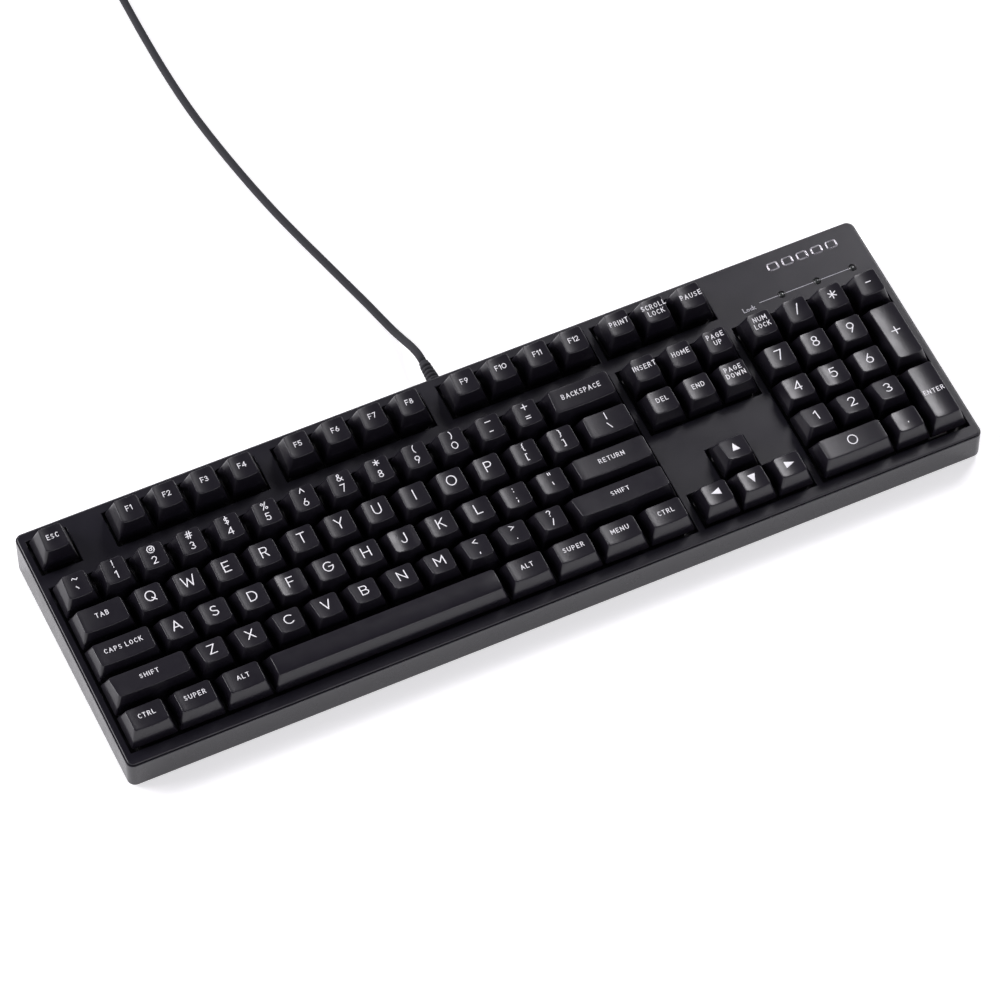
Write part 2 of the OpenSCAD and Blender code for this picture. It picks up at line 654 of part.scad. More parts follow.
top_case();
bottom_case();
mounting_plate();
circuit_board();
switch_lower_housings();
switch_upper_housings();
switch_springs();
stabiliser_housings();
stabiliser_wires();
indicator_leds();
case_screws();
rubber_feet();
controller_chip();
board_socket();
inner_lead();
strain_relief();
cable();
cable_coil();
cable_tie();
usb_plug_body();
usb_plug_shell();
folding_foot(-1);  // foot_left
folding_foot(1);  // foot_right
for (g = KEY_GROUPS) key_group(g[1]);
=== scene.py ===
"""Full-size mechanical keyboard: the finished look of every piece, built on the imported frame.

The keyboard stands on a pale floor with its cable running out behind it. Sizes are in
millimetres until a piece is made, and the deck frame (x to the right, y back from the
case's front face, z out of the deck) is turned into the world by the Deck class.
"""

import logging
import math
from dataclasses import dataclass, field
from enum import Enum, IntEnum
from typing import Callable, Sequence

import bmesh
import bpy
import numpy as np
from mathutils import Matrix, Vector


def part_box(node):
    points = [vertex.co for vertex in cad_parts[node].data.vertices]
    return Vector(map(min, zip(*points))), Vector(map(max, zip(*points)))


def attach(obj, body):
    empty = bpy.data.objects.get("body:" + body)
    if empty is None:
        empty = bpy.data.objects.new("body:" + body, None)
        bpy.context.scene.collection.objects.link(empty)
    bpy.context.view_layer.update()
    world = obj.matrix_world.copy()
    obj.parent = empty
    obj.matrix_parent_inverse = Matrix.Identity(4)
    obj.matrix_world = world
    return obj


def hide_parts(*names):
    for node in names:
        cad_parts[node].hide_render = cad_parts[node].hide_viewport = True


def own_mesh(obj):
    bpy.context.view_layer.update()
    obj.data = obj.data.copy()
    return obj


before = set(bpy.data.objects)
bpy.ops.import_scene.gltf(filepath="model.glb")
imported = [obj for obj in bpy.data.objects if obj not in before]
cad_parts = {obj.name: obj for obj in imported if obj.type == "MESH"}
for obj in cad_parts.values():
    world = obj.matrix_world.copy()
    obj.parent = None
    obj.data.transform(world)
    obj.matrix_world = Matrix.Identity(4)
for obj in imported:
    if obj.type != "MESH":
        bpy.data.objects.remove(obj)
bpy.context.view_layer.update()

MM = 0.001
log = logging.getLogger("keyboard")

Pair = tuple[float, float]
Triple = tuple[float, float, float]
Tree = bpy.types.NodeTree
Node = bpy.types.Node
Socket = bpy.types.NodeSocket
Material = bpy.types.Material
Piece = bpy.types.Object
Mover = Callable[[np.ndarray], np.ndarray]
Height = Callable[[np.ndarray, np.ndarray], np.ndarray]


class Row(IntEnum):
    """Rows of keys, from the function row at the back to the space bar's row."""

    FUNCTION = 0
    NUMBER = 1
    UPPER = 2
    HOME = 3
    LOWER = 4
    SPACE = 5


class Edge(Enum):
    """How a mesh's faces meet: rounded all over, or crisp where they turn sharply."""

    SMOOTH = "smooth"
    CRISP = "crisp"


# ---------------------------------------------------------------- surfaces


@dataclass
class Surface:
    """A mesh as arrays: points in millimetres and faces as lists of point numbers."""

    points: np.ndarray
    faces: list[tuple[int, ...]]

    def moved(self, place: Mover) -> "Surface":
        """Returns the surface with place applied to all its points at once."""
        return Surface(place(self.points), self.faces)


def joined(parts: Sequence[Surface]) -> Surface:
    """Joins surfaces into one.

    Args:
        parts: the surfaces, in order.

    Returns:
        One surface that holds all their points and faces.
    """
    starts = np.cumsum([0] + [len(p.points) for p in parts])
    faces = [tuple(i + int(s) for i in f) for p, s in zip(parts, starts) for f in p.faces]
    return Surface(np.vstack([p.points for p in parts]), faces)


def grid(points: np.ndarray, loop_rows: bool = False, close_ends: bool = True) -> Surface:
    """Skins a grid of points whose columns run round a closed section.

    Every cell of the grid is one quad. The last column meets the first. The first and the
    last row are closed by a fan to the row's mean point, or joined to each other.

    Args:
        points: rows by columns by 3.
        loop_rows: joins the last row to the first.
        close_ends: closes the first and the last row.

    Returns:
        The surface.
    """
    rows, cols = points.shape[:2]
    r = np.arange(rows if loop_rows else rows - 1)[:, None]
    c = np.arange(cols)[None, :]
    n = (c + 1) % cols
    s = (r + 1) % rows
    quads = np.stack(np.broadcast_arrays(r * cols + c, r * cols + n, s * cols + n, s * cols + c), -1)
    faces = [tuple(q) for q in quads.reshape(-1, 4).tolist()]
    flat = points.reshape(-1, 3)
    if close_ends and not loop_rows:
        low, high = len(flat), len(flat) + 1
        last = (rows - 1) * cols
        flat = np.vstack([flat, points[0].mean(0), points[-1].mean(0)])
        faces += [(low, (i + 1) % cols, i) for i in range(cols)]
        faces += [(high, last + i, last + (i + 1) % cols) for i in range(cols)]
    return Surface(flat, faces)


def ring_box(a: float, b: float, r: float, along: int = 6, side: int = 4, corner: int = 4) -> np.ndarray:
    """Points round a rectangle with round corners, anticlockwise from the front left.

    Straight sides are cut into equal steps, and each corner is a quarter circle of radius r.

    Args:
        a: half the width.
        b: half the depth.
        r: the corners' radius.
        along: steps along the front and back.
        side: steps along the left and right.
        corner: steps round a corner.

    Returns:
        Count by 2.
    """
    parts = []
    for k, (cx, cy, steps) in enumerate(((1, -1, along), (1, 1, side), (-1, 1, along), (-1, -1, side))):
        mid = np.array([cx * (a - r), cy * (b - r)])
        t = np.radians(-90 + 90 * k + 90 * np.arange(corner + 1) / corner)[:, None]
        arc = mid + r * np.hstack([np.cos(t), np.sin(t)])
        before = {0: (-1, -1), 1: (1, -1), 2: (1, 1), 3: (-1, 1)}[k]
        start_mid = np.array([before[0] * (a - r), before[1] * (b - r)])
        turn = math.radians(90 * (k - 1))
        start = start_mid + r * np.array([math.cos(turn), math.sin(turn)])
        f = (np.arange(1, steps) / steps)[:, None]
        parts += [start + f * (arc[0] - start), arc]
    return np.vstack(parts)


def lathe(profile: Sequence[Pair], sides: int = 32) -> Surface:
    """Turns a profile of (radius, height) pairs round the Z axis and closes both ends.

    Args:
        profile: the outline, from the bottom up, with radii above 0.
        sides: points in each ring.

    Returns:
        The surface.
    """
    p = np.array(profile, float)
    t = np.linspace(0, 2 * np.pi, sides, endpoint=False)
    x = p[:, :1] * np.cos(t)
    y = p[:, :1] * np.sin(t)
    z = np.broadcast_to(p[:, 1:], x.shape)
    return grid(np.stack([x, y, z], -1))


def pillow(a: float, b: float, r: float, low: float, high: float, soft: float, steps: int = 3) -> Surface:
    """A block with round corners in plan and a quarter-round edge at its top and bottom.

    Args:
        a, b: half the width and half the depth.
        r: radius of the corners in plan.
        low, high: heights of its faces.
        soft: radius of the round edges.
        steps: rings in each round edge.

    Returns:
        The surface.
    """
    q = np.radians(np.linspace(0, 90, steps + 1))
    rings = [(soft * (1 - math.sin(t)), low + soft * (1 - math.cos(t))) for t in q]
    rings += [(soft * (1 - math.cos(t)), high - soft * (1 - math.sin(t))) for t in q]
    rows = []
    for inset, z in rings:
        ring = ring_box(a - inset, b - inset, max(r - inset, 0.05))
        rows.append(np.column_stack([ring, np.full(len(ring), z)]))
    return grid(np.array(rows))


def prism(outline: np.ndarray, low: float, high: float) -> Surface:
    """Raises a flat outline, anticlockwise, from one height to another, with flat ends."""
    n = len(outline)
    ring = np.column_stack([outline, np.zeros(n)])
    points = np.vstack([ring + [0, 0, low], ring + [0, 0, high]])
    faces = [(i, (i + 1) % n, n + (i + 1) % n, n + i) for i in range(n)]
    faces += [tuple(range(n - 1, -1, -1)), tuple(range(n, 2 * n))]
    return Surface(points, faces)


def frames_along(path: np.ndarray) -> tuple[np.ndarray, np.ndarray, np.ndarray]:
    """Directions along a path: forwards, sideways and upwards at each point.

    Forwards is the mean of the steps before and after a point. Sideways is level wherever the
    path isn't upright, so the section never twists.

    Args:
        path: count by 3.

    Returns:
        Three arrays, each count by 3.
    """
    way = np.gradient(path, axis=0)
    way /= np.linalg.norm(way, axis=1, keepdims=True)
    side = np.cross(way, [0.0, 0.0, 1.0])
    side /= np.maximum(np.linalg.norm(side, axis=1, keepdims=True), 1e-9)
    return way, side, np.cross(side, way)


def tube(path: np.ndarray, radius: np.ndarray | float, sides: int = 12) -> Surface:
    """A round tube along a path: each ring is a circle square to the path.

    Args:
        path: count by 3.
        radius: one radius, or one at each point.
        sides: points in each ring.

    Returns:
        The surface, with closed ends.
    """
    _, side, up = frames_along(path)
    t = np.linspace(0, 2 * np.pi, sides, endpoint=False)[None, :, None]
    r = np.broadcast_to(np.asarray(radius, float).reshape(-1, 1, 1), (len(path), 1, 1))
    return grid(path[:, None] + r * (np.cos(t) * side[:, None] + np.sin(t) * up[:, None]))


def smooth_route(points: Sequence[Sequence[float]], step: float) -> np.ndarray:
    """A smooth curve through a route's points, at even steps along its length.

    Between two points the curve is the Catmull-Rom cubic of those two and their neighbours.

    Args:
        points: the route, count by 3.
        step: distance between points of the result.

    Returns:
        Count by 3.
    """
    p = np.array(points, float)
    q = np.vstack([p[:1], p, p[-1:]])
    u = np.linspace(0, 1, 24, endpoint=False)[:, None]
    parts = []
    for a, b, c, d in zip(q[:-3], q[1:-2], q[2:-1], q[3:]):
        curve = 2 * b + (c - a) * u + (2 * a - 5 * b + 4 * c - d) * u**2 + (3 * b - a - 3 * c + d) * u**3
        parts.append(0.5 * curve)
    return even(np.vstack(parts + [p[-1:]]), step)


def even(path: np.ndarray, step: float) -> np.ndarray:
    """Puts a path's points at even distances of about step along it."""
    gaps = np.linalg.norm(np.diff(path, axis=0), axis=1)
    at = np.concatenate([[0], np.cumsum(gaps)])
    want = np.linspace(0, at[-1], max(2, round(at[-1] / step)) + 1)
    return np.column_stack([np.interp(want, at, path[:, k]) for k in range(3)])


# ---------------------------------------------------------------- the deck


@dataclass(frozen=True)
class Deck:
    """The keyboard's deck: where it lies in the world and how its keys are set out."""

    depth: float = 137.0
    front_height: float = 18.5
    tilt: float = 2.5
    pitch: float = 19.05
    front_margin: float = 7.5
    function_strip: float = 9.15
    units: float = 22.5

    def place(self, points: np.ndarray) -> np.ndarray:
        """Turns deck points in millimetres into world points in metres.

        The deck is tilted about the case's top front edge, and the world's origin is under the
        middle of the case.
        """
        c, s = math.cos(math.radians(self.tilt)), math.sin(math.radians(self.tilt))
        x, y, z = points[..., 0], points[..., 1], points[..., 2]
        return np.stack([x, y * c - z * s - self.depth / 2, self.front_height + y * s + z * c], -1) * MM

    @property
    def up(self) -> Triple:
        """The direction square to the deck."""
        return 0.0, -math.sin(math.radians(self.tilt)), math.cos(math.radians(self.tilt))

    def unplace(self, points: np.ndarray) -> np.ndarray:
        """Turns world points in metres back into deck points in millimetres."""
        c, s = math.cos(math.radians(self.tilt)), math.sin(math.radians(self.tilt))
        back, up = points[..., 1] / MM + self.depth / 2, points[..., 2] / MM - self.front_height
        return np.stack([points[..., 0] / MM, back * c + up * s, up * c - back * s], -1)

    def row_y(self, row: int) -> float:
        """Distance of a row's middle from the case's front face."""
        strip = self.function_strip if row == Row.FUNCTION else 0.0
        return self.front_margin + (Row.SPACE - row + 0.5) * self.pitch + strip

    def column_x(self, column: float) -> float:
        """Distance of a column's left edge from the middle of the keyboard."""
        return (column - self.units / 2) * self.pitch


DECK = Deck()


def on_desk(points: np.ndarray) -> np.ndarray:
    """Turns world points in millimetres into metres."""
    return points * MM


# ---------------------------------------------------------------- finishes


@dataclass(frozen=True)
class Finish:
    """A moulded or coated finish: two close colours, a fine grain and a gloss that varies.

    Colours are linear. grain and mottle are the patterns' repeats per metre.
    """

    name: str
    slot: str
    colour: Triple
    second: Triple
    roughness: float = 0.5
    rough_spread: float = 0.08
    grain: float = 2600.0
    grain_depth: float = 0.00002
    mottle: float = 60.0
    metallic: float = 0.0
    specular: float = 0.5
    coat: float = 0.0
    coat_roughness: float = 0.12
    sheen: float = 0.0

    @property
    def gloss(self) -> Pair:
        """The lowest and the highest roughness."""
        return self.roughness - self.rough_spread, self.roughness + self.rough_spread

    def material(self) -> Material:
        """Returns the finish's material, made the first time it is asked for."""
        known = bpy.data.materials.get(self.name)
        if known:
            return known
        made = bpy.data.materials.new(self.name)
        made.use_nodes = True
        made.diffuse_color = (*self.colour, 1.0)
        tree = made.node_tree
        shader = tree.nodes["Principled BSDF"]
        give(shader, {"Metallic": self.metallic, "Specular IOR Level": self.specular, "Coat Weight": self.coat,
                      "Coat Roughness": self.coat_roughness, "Sheen Weight": self.sheen})
        where = tree.nodes.new("ShaderNodeTexCoord").outputs["Object"]
        self.paint(tree, shader, where)
        return made

    def paint(self, tree: Tree, shader: Node, where: Socket) -> None:
        """Adds the patterns: mottled colour and gloss, and a fine grain in the surface."""
        mottle = noise(tree, where, self.mottle, 4)
        link(tree, blend(tree, mottle, self.colour, self.second), shader.inputs["Base Color"])
        link(tree, spread(tree, noise(tree, where, self.mottle * 3.3, 5), *self.gloss), shader.inputs["Roughness"])
        link(tree, bump(tree, self.relief(tree, where), self.grain_depth), shader.inputs["Normal"])

    def relief(self, tree: Tree, where: Socket) -> Socket:
        """The height pattern of the surface: an even moulded grain."""
        return noise(tree, where, self.grain, 2)


def give(node: Node, values: dict[str, object]) -> None:
    """Sets a node's inputs by name."""
    for name, value in values.items():
        node.inputs[name].default_value = value


def link(tree: Tree, out: Socket, into: Socket) -> None:
    """Joins two sockets."""
    tree.links.new(out, into)


def noise(tree: Tree, where: Socket, scale: float, detail: float) -> Socket:
    """A noise pattern's value."""
    node = tree.nodes.new("ShaderNodeTexNoise")
    give(node, {"Scale": scale, "Detail": detail})
    link(tree, where, node.inputs["Vector"])
    return node.outputs["Fac"]


def blend(tree: Tree, factor: Socket, first: Triple, second: Triple) -> Socket:
    """A colour that runs from first to second as a pattern goes from its low to its high parts."""
    ramp = tree.nodes.new("ShaderNodeValToRGB")
    for stop, place, colour in zip(ramp.color_ramp.elements, (0.35, 0.65), (first, second)):
        stop.position = place
        stop.color = (*colour, 1.0)
    link(tree, factor, ramp.inputs["Fac"])
    return ramp.outputs["Color"]


def spread(tree: Tree, factor: Socket, low: float, high: float) -> Socket:
    """A pattern's middle part stretched over a range."""
    node = tree.nodes.new("ShaderNodeMapRange")
    give(node, {"From Min": 0.3, "From Max": 0.7, "To Min": low, "To Max": high})
    link(tree, factor, node.inputs["Value"])
    return node.outputs["Result"]


def bump(tree: Tree, height: Socket, depth: float) -> Socket:
    """A normal that follows a height pattern, depth in metres."""
    node = tree.nodes.new("ShaderNodeBump")
    give(node, {"Strength": 1.0, "Distance": depth})
    link(tree, height, node.inputs["Height"])
    return node.outputs["Normal"]


def wave(tree: Tree, where: Socket, axis: str, scale: float, distortion: float = 0.0) -> Socket:
    """Bands across one axis."""
    node = tree.nodes.new("ShaderNodeTexWave")
    node.bands_direction = axis
    give(node, {"Scale": scale, "Distortion": distortion})
    link(tree, where, node.inputs["Vector"])
    return node.outputs["Fac"]


@dataclass(frozen=True)
class BrushedFinish(Finish):
    """Metal with fine lines along one axis."""

    lines: str = "X"

    def relief(self, tree: Tree, where: Socket) -> Socket:
        """Distorted bands give the drawn or rolled lines."""
        return wave(tree, where, self.lines, self.grain, 6.0)


@dataclass(frozen=True)
class StrapFinish(Finish):
    """Woven strap: crossed bands."""

    def relief(self, tree: Tree, where: Socket) -> Socket:
        """The product of two sets of bands at right angles."""
        node = tree.nodes.new("ShaderNodeMath")
        node.operation = "MULTIPLY"
        link(tree, wave(tree, where, "X", self.grain), node.inputs[0])
        link(tree, wave(tree, where, "Z", self.grain), node.inputs[1])
        return node.outputs[0]


@dataclass(frozen=True)
class BoardFinish(Finish):
    """Solder mask over copper tracks."""

    def paint(self, tree: Tree, shader: Node, where: Socket) -> None:
        """Square cells give the tracks a lighter green, and raise them a little."""
        cells = tree.nodes.new("ShaderNodeTexVoronoi")
        cells.distance = "MANHATTAN"
        cells.feature = "DISTANCE_TO_EDGE"
        cells.inputs["Scale"].default_value = self.mottle
        link(tree, where, cells.inputs["Vector"])
        link(tree, blend(tree, cells.outputs["Distance"], self.second, self.colour), shader.inputs["Base Color"])
        link(tree, spread(tree, noise(tree, where, self.mottle, 3), *self.gloss), shader.inputs["Roughness"])
        link(tree, bump(tree, cells.outputs["Distance"], self.grain_depth), shader.inputs["Normal"])


COVER = Finish("deck_cover_plastic", "case_cover", (0.0072, 0.0064, 0.0110), (0.0080, 0.0072, 0.0120),
               roughness=0.32, rough_spread=0.03, grain=3200, grain_depth=0.00002, mottle=25)
SHELL = Finish("lower_shell_plastic", "case_shell", (0.0110, 0.0100, 0.0140), (0.0130, 0.0120, 0.0160),
               roughness=0.27, rough_spread=0.03, grain=2200, grain_depth=0.000006, mottle=25, specular=0.6)
CAP = Finish("keycap_plastic", "keycap", (0.0070, 0.0058, 0.0098), (0.0082, 0.0070, 0.0112),
             roughness=0.34, rough_spread=0.03, grain=2800, grain_depth=0.00002, mottle=45)
INLAY = Finish("legend_plastic", "keycap", (0.93, 0.93, 0.95), (0.97, 0.97, 0.98),
               roughness=0.45, grain=3000, grain_depth=0.00001)
BADGE = BrushedFinish("badge_metal", "case_cover", (0.36, 0.35, 0.37), (0.42, 0.41, 0.43), roughness=0.3,
                      metallic=1.0, grain=900, grain_depth=0.000004)
MARK = Finish("deck_mark_ink", "case_cover", (0.62, 0.62, 0.66), (0.68, 0.68, 0.72), roughness=0.5)
STEM = Finish("slider_plastic", "keycap", (0.16, 0.065, 0.03), (0.19, 0.08, 0.035), roughness=0.4)
HOUSING = Finish("switch_housing_plastic", "housing", (0.010, 0.010, 0.011), (0.014, 0.014, 0.015), roughness=0.4)
PLATE = Finish("plate_powder_coat", "plate_steel", (0.009, 0.009, 0.010), (0.012, 0.012, 0.013),
               roughness=0.5, grain=1800, grain_depth=0.00005)
BOARD = BoardFinish("board_solder_mask", "board", (0.006, 0.05, 0.02), (0.012, 0.10, 0.035),
                    roughness=0.3, grain_depth=0.00003, mottle=220)
SPRING = BrushedFinish("spring_wire", "spring_steel", (0.55, 0.54, 0.52), (0.62, 0.61, 0.59),
                       roughness=0.28, metallic=1.0, grain=900, grain_depth=0.000005)
SCREW = BrushedFinish("screw_zinc", "screw_steel", (0.30, 0.30, 0.31), (0.38, 0.38, 0.39),
                      roughness=0.35, metallic=1.0, grain=1500, grain_depth=0.000005)
LENS = Finish("indicator_lens", "led_lens", (0.030, 0.034, 0.031), (0.040, 0.046, 0.041), roughness=0.2, coat=0.5)
RING = Finish("indicator_ring", "led_lens", (0.006, 0.006, 0.007), (0.009, 0.009, 0.010), roughness=0.2)
RUBBER = Finish("pad_rubber", "pad_rubber", (0.014, 0.014, 0.014), (0.020, 0.020, 0.020),
                roughness=0.8, grain=1500, grain_depth=0.00006)
CHIP = Finish("chip_epoxy", "chip", (0.011, 0.011, 0.012), (0.015, 0.015, 0.016), roughness=0.55)
SOCKET = Finish("socket_nylon", "socket_plastic", (0.55, 0.52, 0.42), (0.62, 0.58, 0.48), roughness=0.45)
JACKET = Finish("cable_jacket", "cable_jacket", (0.010, 0.010, 0.012), (0.014, 0.014, 0.016),
                roughness=0.42, grain=1200, grain_depth=0.00003)
TIE = StrapFinish("tie_weave", "tie_fabric", (0.012, 0.012, 0.013), (0.022, 0.022, 0.023),
                  roughness=0.9, grain=520, grain_depth=0.0002, sheen=0.3)
NICKEL = BrushedFinish("plug_nickel", "plug_steel", (0.60, 0.59, 0.57), (0.68, 0.67, 0.65),
                       roughness=0.22, metallic=1.0, grain=800, grain_depth=0.000004)
GOLD = Finish("contact_gold", "plug_steel", (0.75, 0.55, 0.22), (0.80, 0.60, 0.26), roughness=0.25, metallic=1.0)


# ---------------------------------------------------------------- making pieces


CRISP_FROM = 32.0
ROUNDED_FROM = 38.0
FLAT_WITHIN = 0.8
WELD = 0.002 * MM
RIM_STEPS = 4
FLAT_FACE_WEIGHT = 90


def make_piece(
    name: str, surface: Surface, body: str, finish: Finish, edge: Edge = Edge.SMOOTH, replaces: Sequence[str] = ()
) -> Piece:
    """Makes a finished object from a surface in metres and hangs it on its body.

    Args:
        name: the piece's name.
        surface: its mesh, in world metres.
        body: the body it moves with.
        finish: its finish.
        edge: whether its faces are shaded round or meet crisply.
        replaces: CAD nodes that it stands for.

    Returns:
        The object.
    """
    mesh = bpy.data.meshes.new(name)
    mesh.from_pydata(surface.points.tolist(), [], surface.faces)
    mesh.update()
    piece = bpy.data.objects.new(name, mesh)
    bpy.context.scene.collection.objects.link(piece)
    dress(piece, finish, edge)
    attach(piece, body)
    if replaces:
        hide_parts(*replaces)
    log.info("%s: %d faces on %s", name, len(mesh.polygons), body)
    return piece


def dress(piece: Piece, finish: Finish, edge: Edge) -> None:
    """Gives a mesh its finish and its shading."""
    mesh = piece.data
    mesh.materials.clear()
    mesh.materials.append(finish.material())
    mesh.shade_smooth()
    if edge is Edge.CRISP:
        mesh.set_sharp_from_angle(angle=math.radians(CRISP_FROM))


def everywhere(points: np.ndarray) -> np.ndarray:
    """Says yes to every point."""
    return np.ones(len(points), bool)


def softened_copy(
    node: str, name: str, body: str, finish: Finish, rims: Sequence[tuple[float, Mover]]
) -> Piece:
    """Copies a CAD node, joins its loose triangles into flat faces and rounds its edges.

    An edge is rounded where two faces meet at more than ROUNDED_FROM and both its ends lie on a rim.

    Args:
        node: the CAD node, which the copy stands for.
        name: the piece's name.
        body: the body it moves with.
        finish: its finish.
        rims: for each kind of rim its radius in millimetres, and a function that says of world
            points in metres, count by 3, which of them lie on it.

    Returns:
        The object.
    """
    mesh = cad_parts[node].data.copy()
    mesh.name = name
    shape = bmesh.new()
    shape.from_mesh(mesh)
    bmesh.ops.remove_doubles(shape, verts=shape.verts, dist=WELD)
    bmesh.ops.dissolve_degenerate(shape, edges=shape.edges, dist=WELD)
    bmesh.ops.dissolve_limit(shape, angle_limit=math.radians(FLAT_WITHIN), verts=shape.verts, edges=shape.edges)
    for radius, lies_on in rims:
        shape.verts.index_update()
        on = lies_on(np.array([v.co for v in shape.verts]))
        sharp = [e for e in shape.edges if len(e.link_faces) == 2 and e.calc_face_angle() > math.radians(ROUNDED_FROM)
                 and on[e.verts[0].index] and on[e.verts[1].index]]
        bmesh.ops.bevel(shape, geom=sharp, offset=radius * MM, offset_type="OFFSET", segments=RIM_STEPS, profile=0.5,
                        affect="EDGES", clamp_overlap=lies_on is everywhere)
    shape.to_mesh(mesh)
    shape.free()
    piece = bpy.data.objects.new(name, mesh)
    bpy.context.scene.collection.objects.link(piece)
    dress(piece, finish, Edge.CRISP)
    even_out = piece.modifiers.new("flat_faces_stay_flat", "WEIGHTED_NORMAL")
    even_out.weight = FLAT_FACE_WEIGHT
    even_out.keep_sharp = True
    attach(piece, body)
    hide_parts(node)
    log.info("%s: softened copy of %s", name, node)
    return piece


def refinish(node: str, finish: Finish) -> None:
    """Gives a CAD node that stays its finish."""
    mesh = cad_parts[node].data
    mesh.materials.clear()
    mesh.materials.append(finish.material())
    log.info("%s: CAD node with %s", node, finish.name)


# ---------------------------------------------------------------- lettering


@dataclass(frozen=True)
class Pen:
    """How one kind of legend is drawn: letter height, stroke width and gap, in millimetres."""

    height: float
    stroke: float
    gap: float
    spread: float = 1.0

    def width_of(self, character: str) -> float:
        """How far a character is spread: round letters are narrowed, the more so in small words."""
        if character in ROUND_LETTERS:
            return self.spread * (0.9 if self.spread == 1.0 else 0.72)
        return self.spread


GLYPHS: dict[str, str] = {
    "A": "0,0 .4,1 .8,0; .14,.33 .66,.33",
    "B": "0,0 0,1 .38,1 @.38,.76,.24,.24,90,-90 0,.52; .38,.52 @.38,.26,.28,.26,90,-90 0,0",
    "C": "@.5,.5,.5,.5,45,315",
    "D": "0,0 0,1 .3,1 @.3,.5,.45,.5,90,-90 0,0",
    "E": ".58,1 0,1 0,0 .58,0; 0,.52 .5,.52",
    "F": ".55,1 0,1 0,0; 0,.5 .48,.5",
    "G": "@.5,.5,.5,.5,45,360 .55,.5",
    "H": "0,0 0,1; .72,0 .72,1; 0,.52 .72,.52",
    "I": "0,0 0,1",
    "J": ".5,1 .5,.26 @.25,.26,.25,.26,0,-180",
    "K": "0,0 0,1; .62,1 0,.42; .22,.62 .66,0",
    "L": "0,1 0,0 .52,0",
    "M": "0,0 0,1 .43,.35 .86,1 .86,0",
    "N": "0,0 0,1 .74,0 .74,1",
    "O": "@.5,.5,.5,.5,0,360",
    "P": "0,0 0,1 .36,1 @.36,.73,.26,.27,90,-90 0,.46",
    "Q": "@.5,.5,.5,.5,0,360; .62,.3 .98,-.04",
    "R": "0,0 0,1 .36,1 @.36,.74,.26,.26,90,-90 0,.48; .34,.48 .64,0",
    "S": "@.31,.745,.28,.255,35,270 @.31,.245,.31,.245,90,-145",
    "T": "0,1 .66,1; .33,1 .33,0",
    "U": "0,1 0,.36 @.36,.36,.36,.36,180,360 .72,1",
    "V": "0,1 .38,0 .76,1",
    "W": "0,1 .28,0 .575,.8 .87,0 1.15,1",
    "X": "0,0 .68,1; 0,1 .68,0",
    "Y": "0,1 .36,.46 .72,1; .36,.46 .36,0",
    "Z": "0,1 .64,1 0,0 .64,0",
    "0": "@.42,.5,.42,.5,0,360",
    "1": "0,.8 .26,1 .26,0",
    "2": "@.31,.7,.31,.3,165,-38 0,0 .62,0",
    "3": "@.3,.75,.27,.25,150,-90; @.3,.25,.31,.25,90,-150",
    "4": ".54,0 .54,1 0,.28 .7,.28",
    "5": ".56,1 .1,1 .05,.56 @.3,.32,.32,.32,130,-150",
    "6": "@.32,.31,.32,.31,0,360; .04,.42 .42,1",
    "7": "0,1 .62,1 .2,0",
    "8": "@.31,.76,.25,.24,0,360; @.31,.26,.31,.26,0,360",
    "9": "@.32,.69,.32,.31,0,360; .6,.58 .22,0",
    "~": "0,.42 @.19,.42,.19,.17,180,0 @.57,.42,.19,.17,180,360",
    "`": "0,.9 .25,.55",
    "!": "0,1 0,.34; 0,.05 0,0",
    "@": "@.5,.5,.5,.5,-50,285; @.5,.5,.2,.22,0,360; .7,.72 .7,.4",
    "#": ".2,0 .34,1; .5,0 .64,1; 0,.33 .78,.33; .06,.68 .84,.68",
    "$": "@.31,.7,.26,.2,35,270 @.31,.3,.28,.2,90,-145; .31,1.1 .31,-.1",
    "%": "@.17,.8,.17,.19,0,360; @.66,.2,.17,.19,0,360; .7,1 .13,0",
    "^": "0,.4 .32,1 .64,.4",
    "&": ".8,0 .2,.68 @.33,.8,.17,.2,215,-40 .16,.46 @.3,.26,.26,.26,125,300 .78,.42",
    "*": ".35,1 .35,.2; 0,.8 .7,.4; 0,.4 .7,.8",
    "(": "@.4,.5,.4,.62,120,240",
    ")": "@-.2,.5,.4,.62,60,-60",
    "_": "0,.4 .75,.4",
    "-": "0,.5 .45,.5",
    "+": "0,.5 .8,.5; .4,.9 .4,.1",
    "=": "0,.66 .6,.66; 0,.34 .6,.34",
    "{": ".24,1.05 .1,.95 .1,.6 0,.5 .1,.4 .1,.05 .24,-.05",
    "[": ".22,1 0,1 0,0 .22,0",
    "}": "0,1.05 .14,.95 .14,.6 .24,.5 .14,.4 .14,.05 0,-.05",
    "]": "0,1 .22,1 .22,0 0,0",
    "|": "0,1 0,0",
    "\\": "0,.95 .42,.1",
    ":": "0,.72 0,.68; 0,.22 0,.18",
    ";": "0,.72 0,.68; .04,.26 0,.02",
    '"': "0,1 .02,.66; .26,1 .28,.66",
    "'": "0,1 .03,.6",
    "<": ".55,.9 0,.55 .55,.2",
    ",": ".05,.18 0,-.05",
    ">": "0,.9 .55,.55 0,.2",
    ".": "0,.1 0,.07",
    "?": "@.25,.75,.25,.25,160,-60 .25,.34; .25,.05 .25,0",
    "/": "0,0 .4,1",
    "o": "@.3,.3,.28,.3,0,360",
    "c": "@.3,.3,.28,.3,50,310",
    "k": "0,0 0,1; .46,.6 0,.24; .16,.36 .5,0",
}
SHARP_TURN = 35.0
PROUD = 0.035
SUNK = 0.25
FLAT_PART = 0.72
ROUND_END = np.array([0.97, 0.7, 0.35])


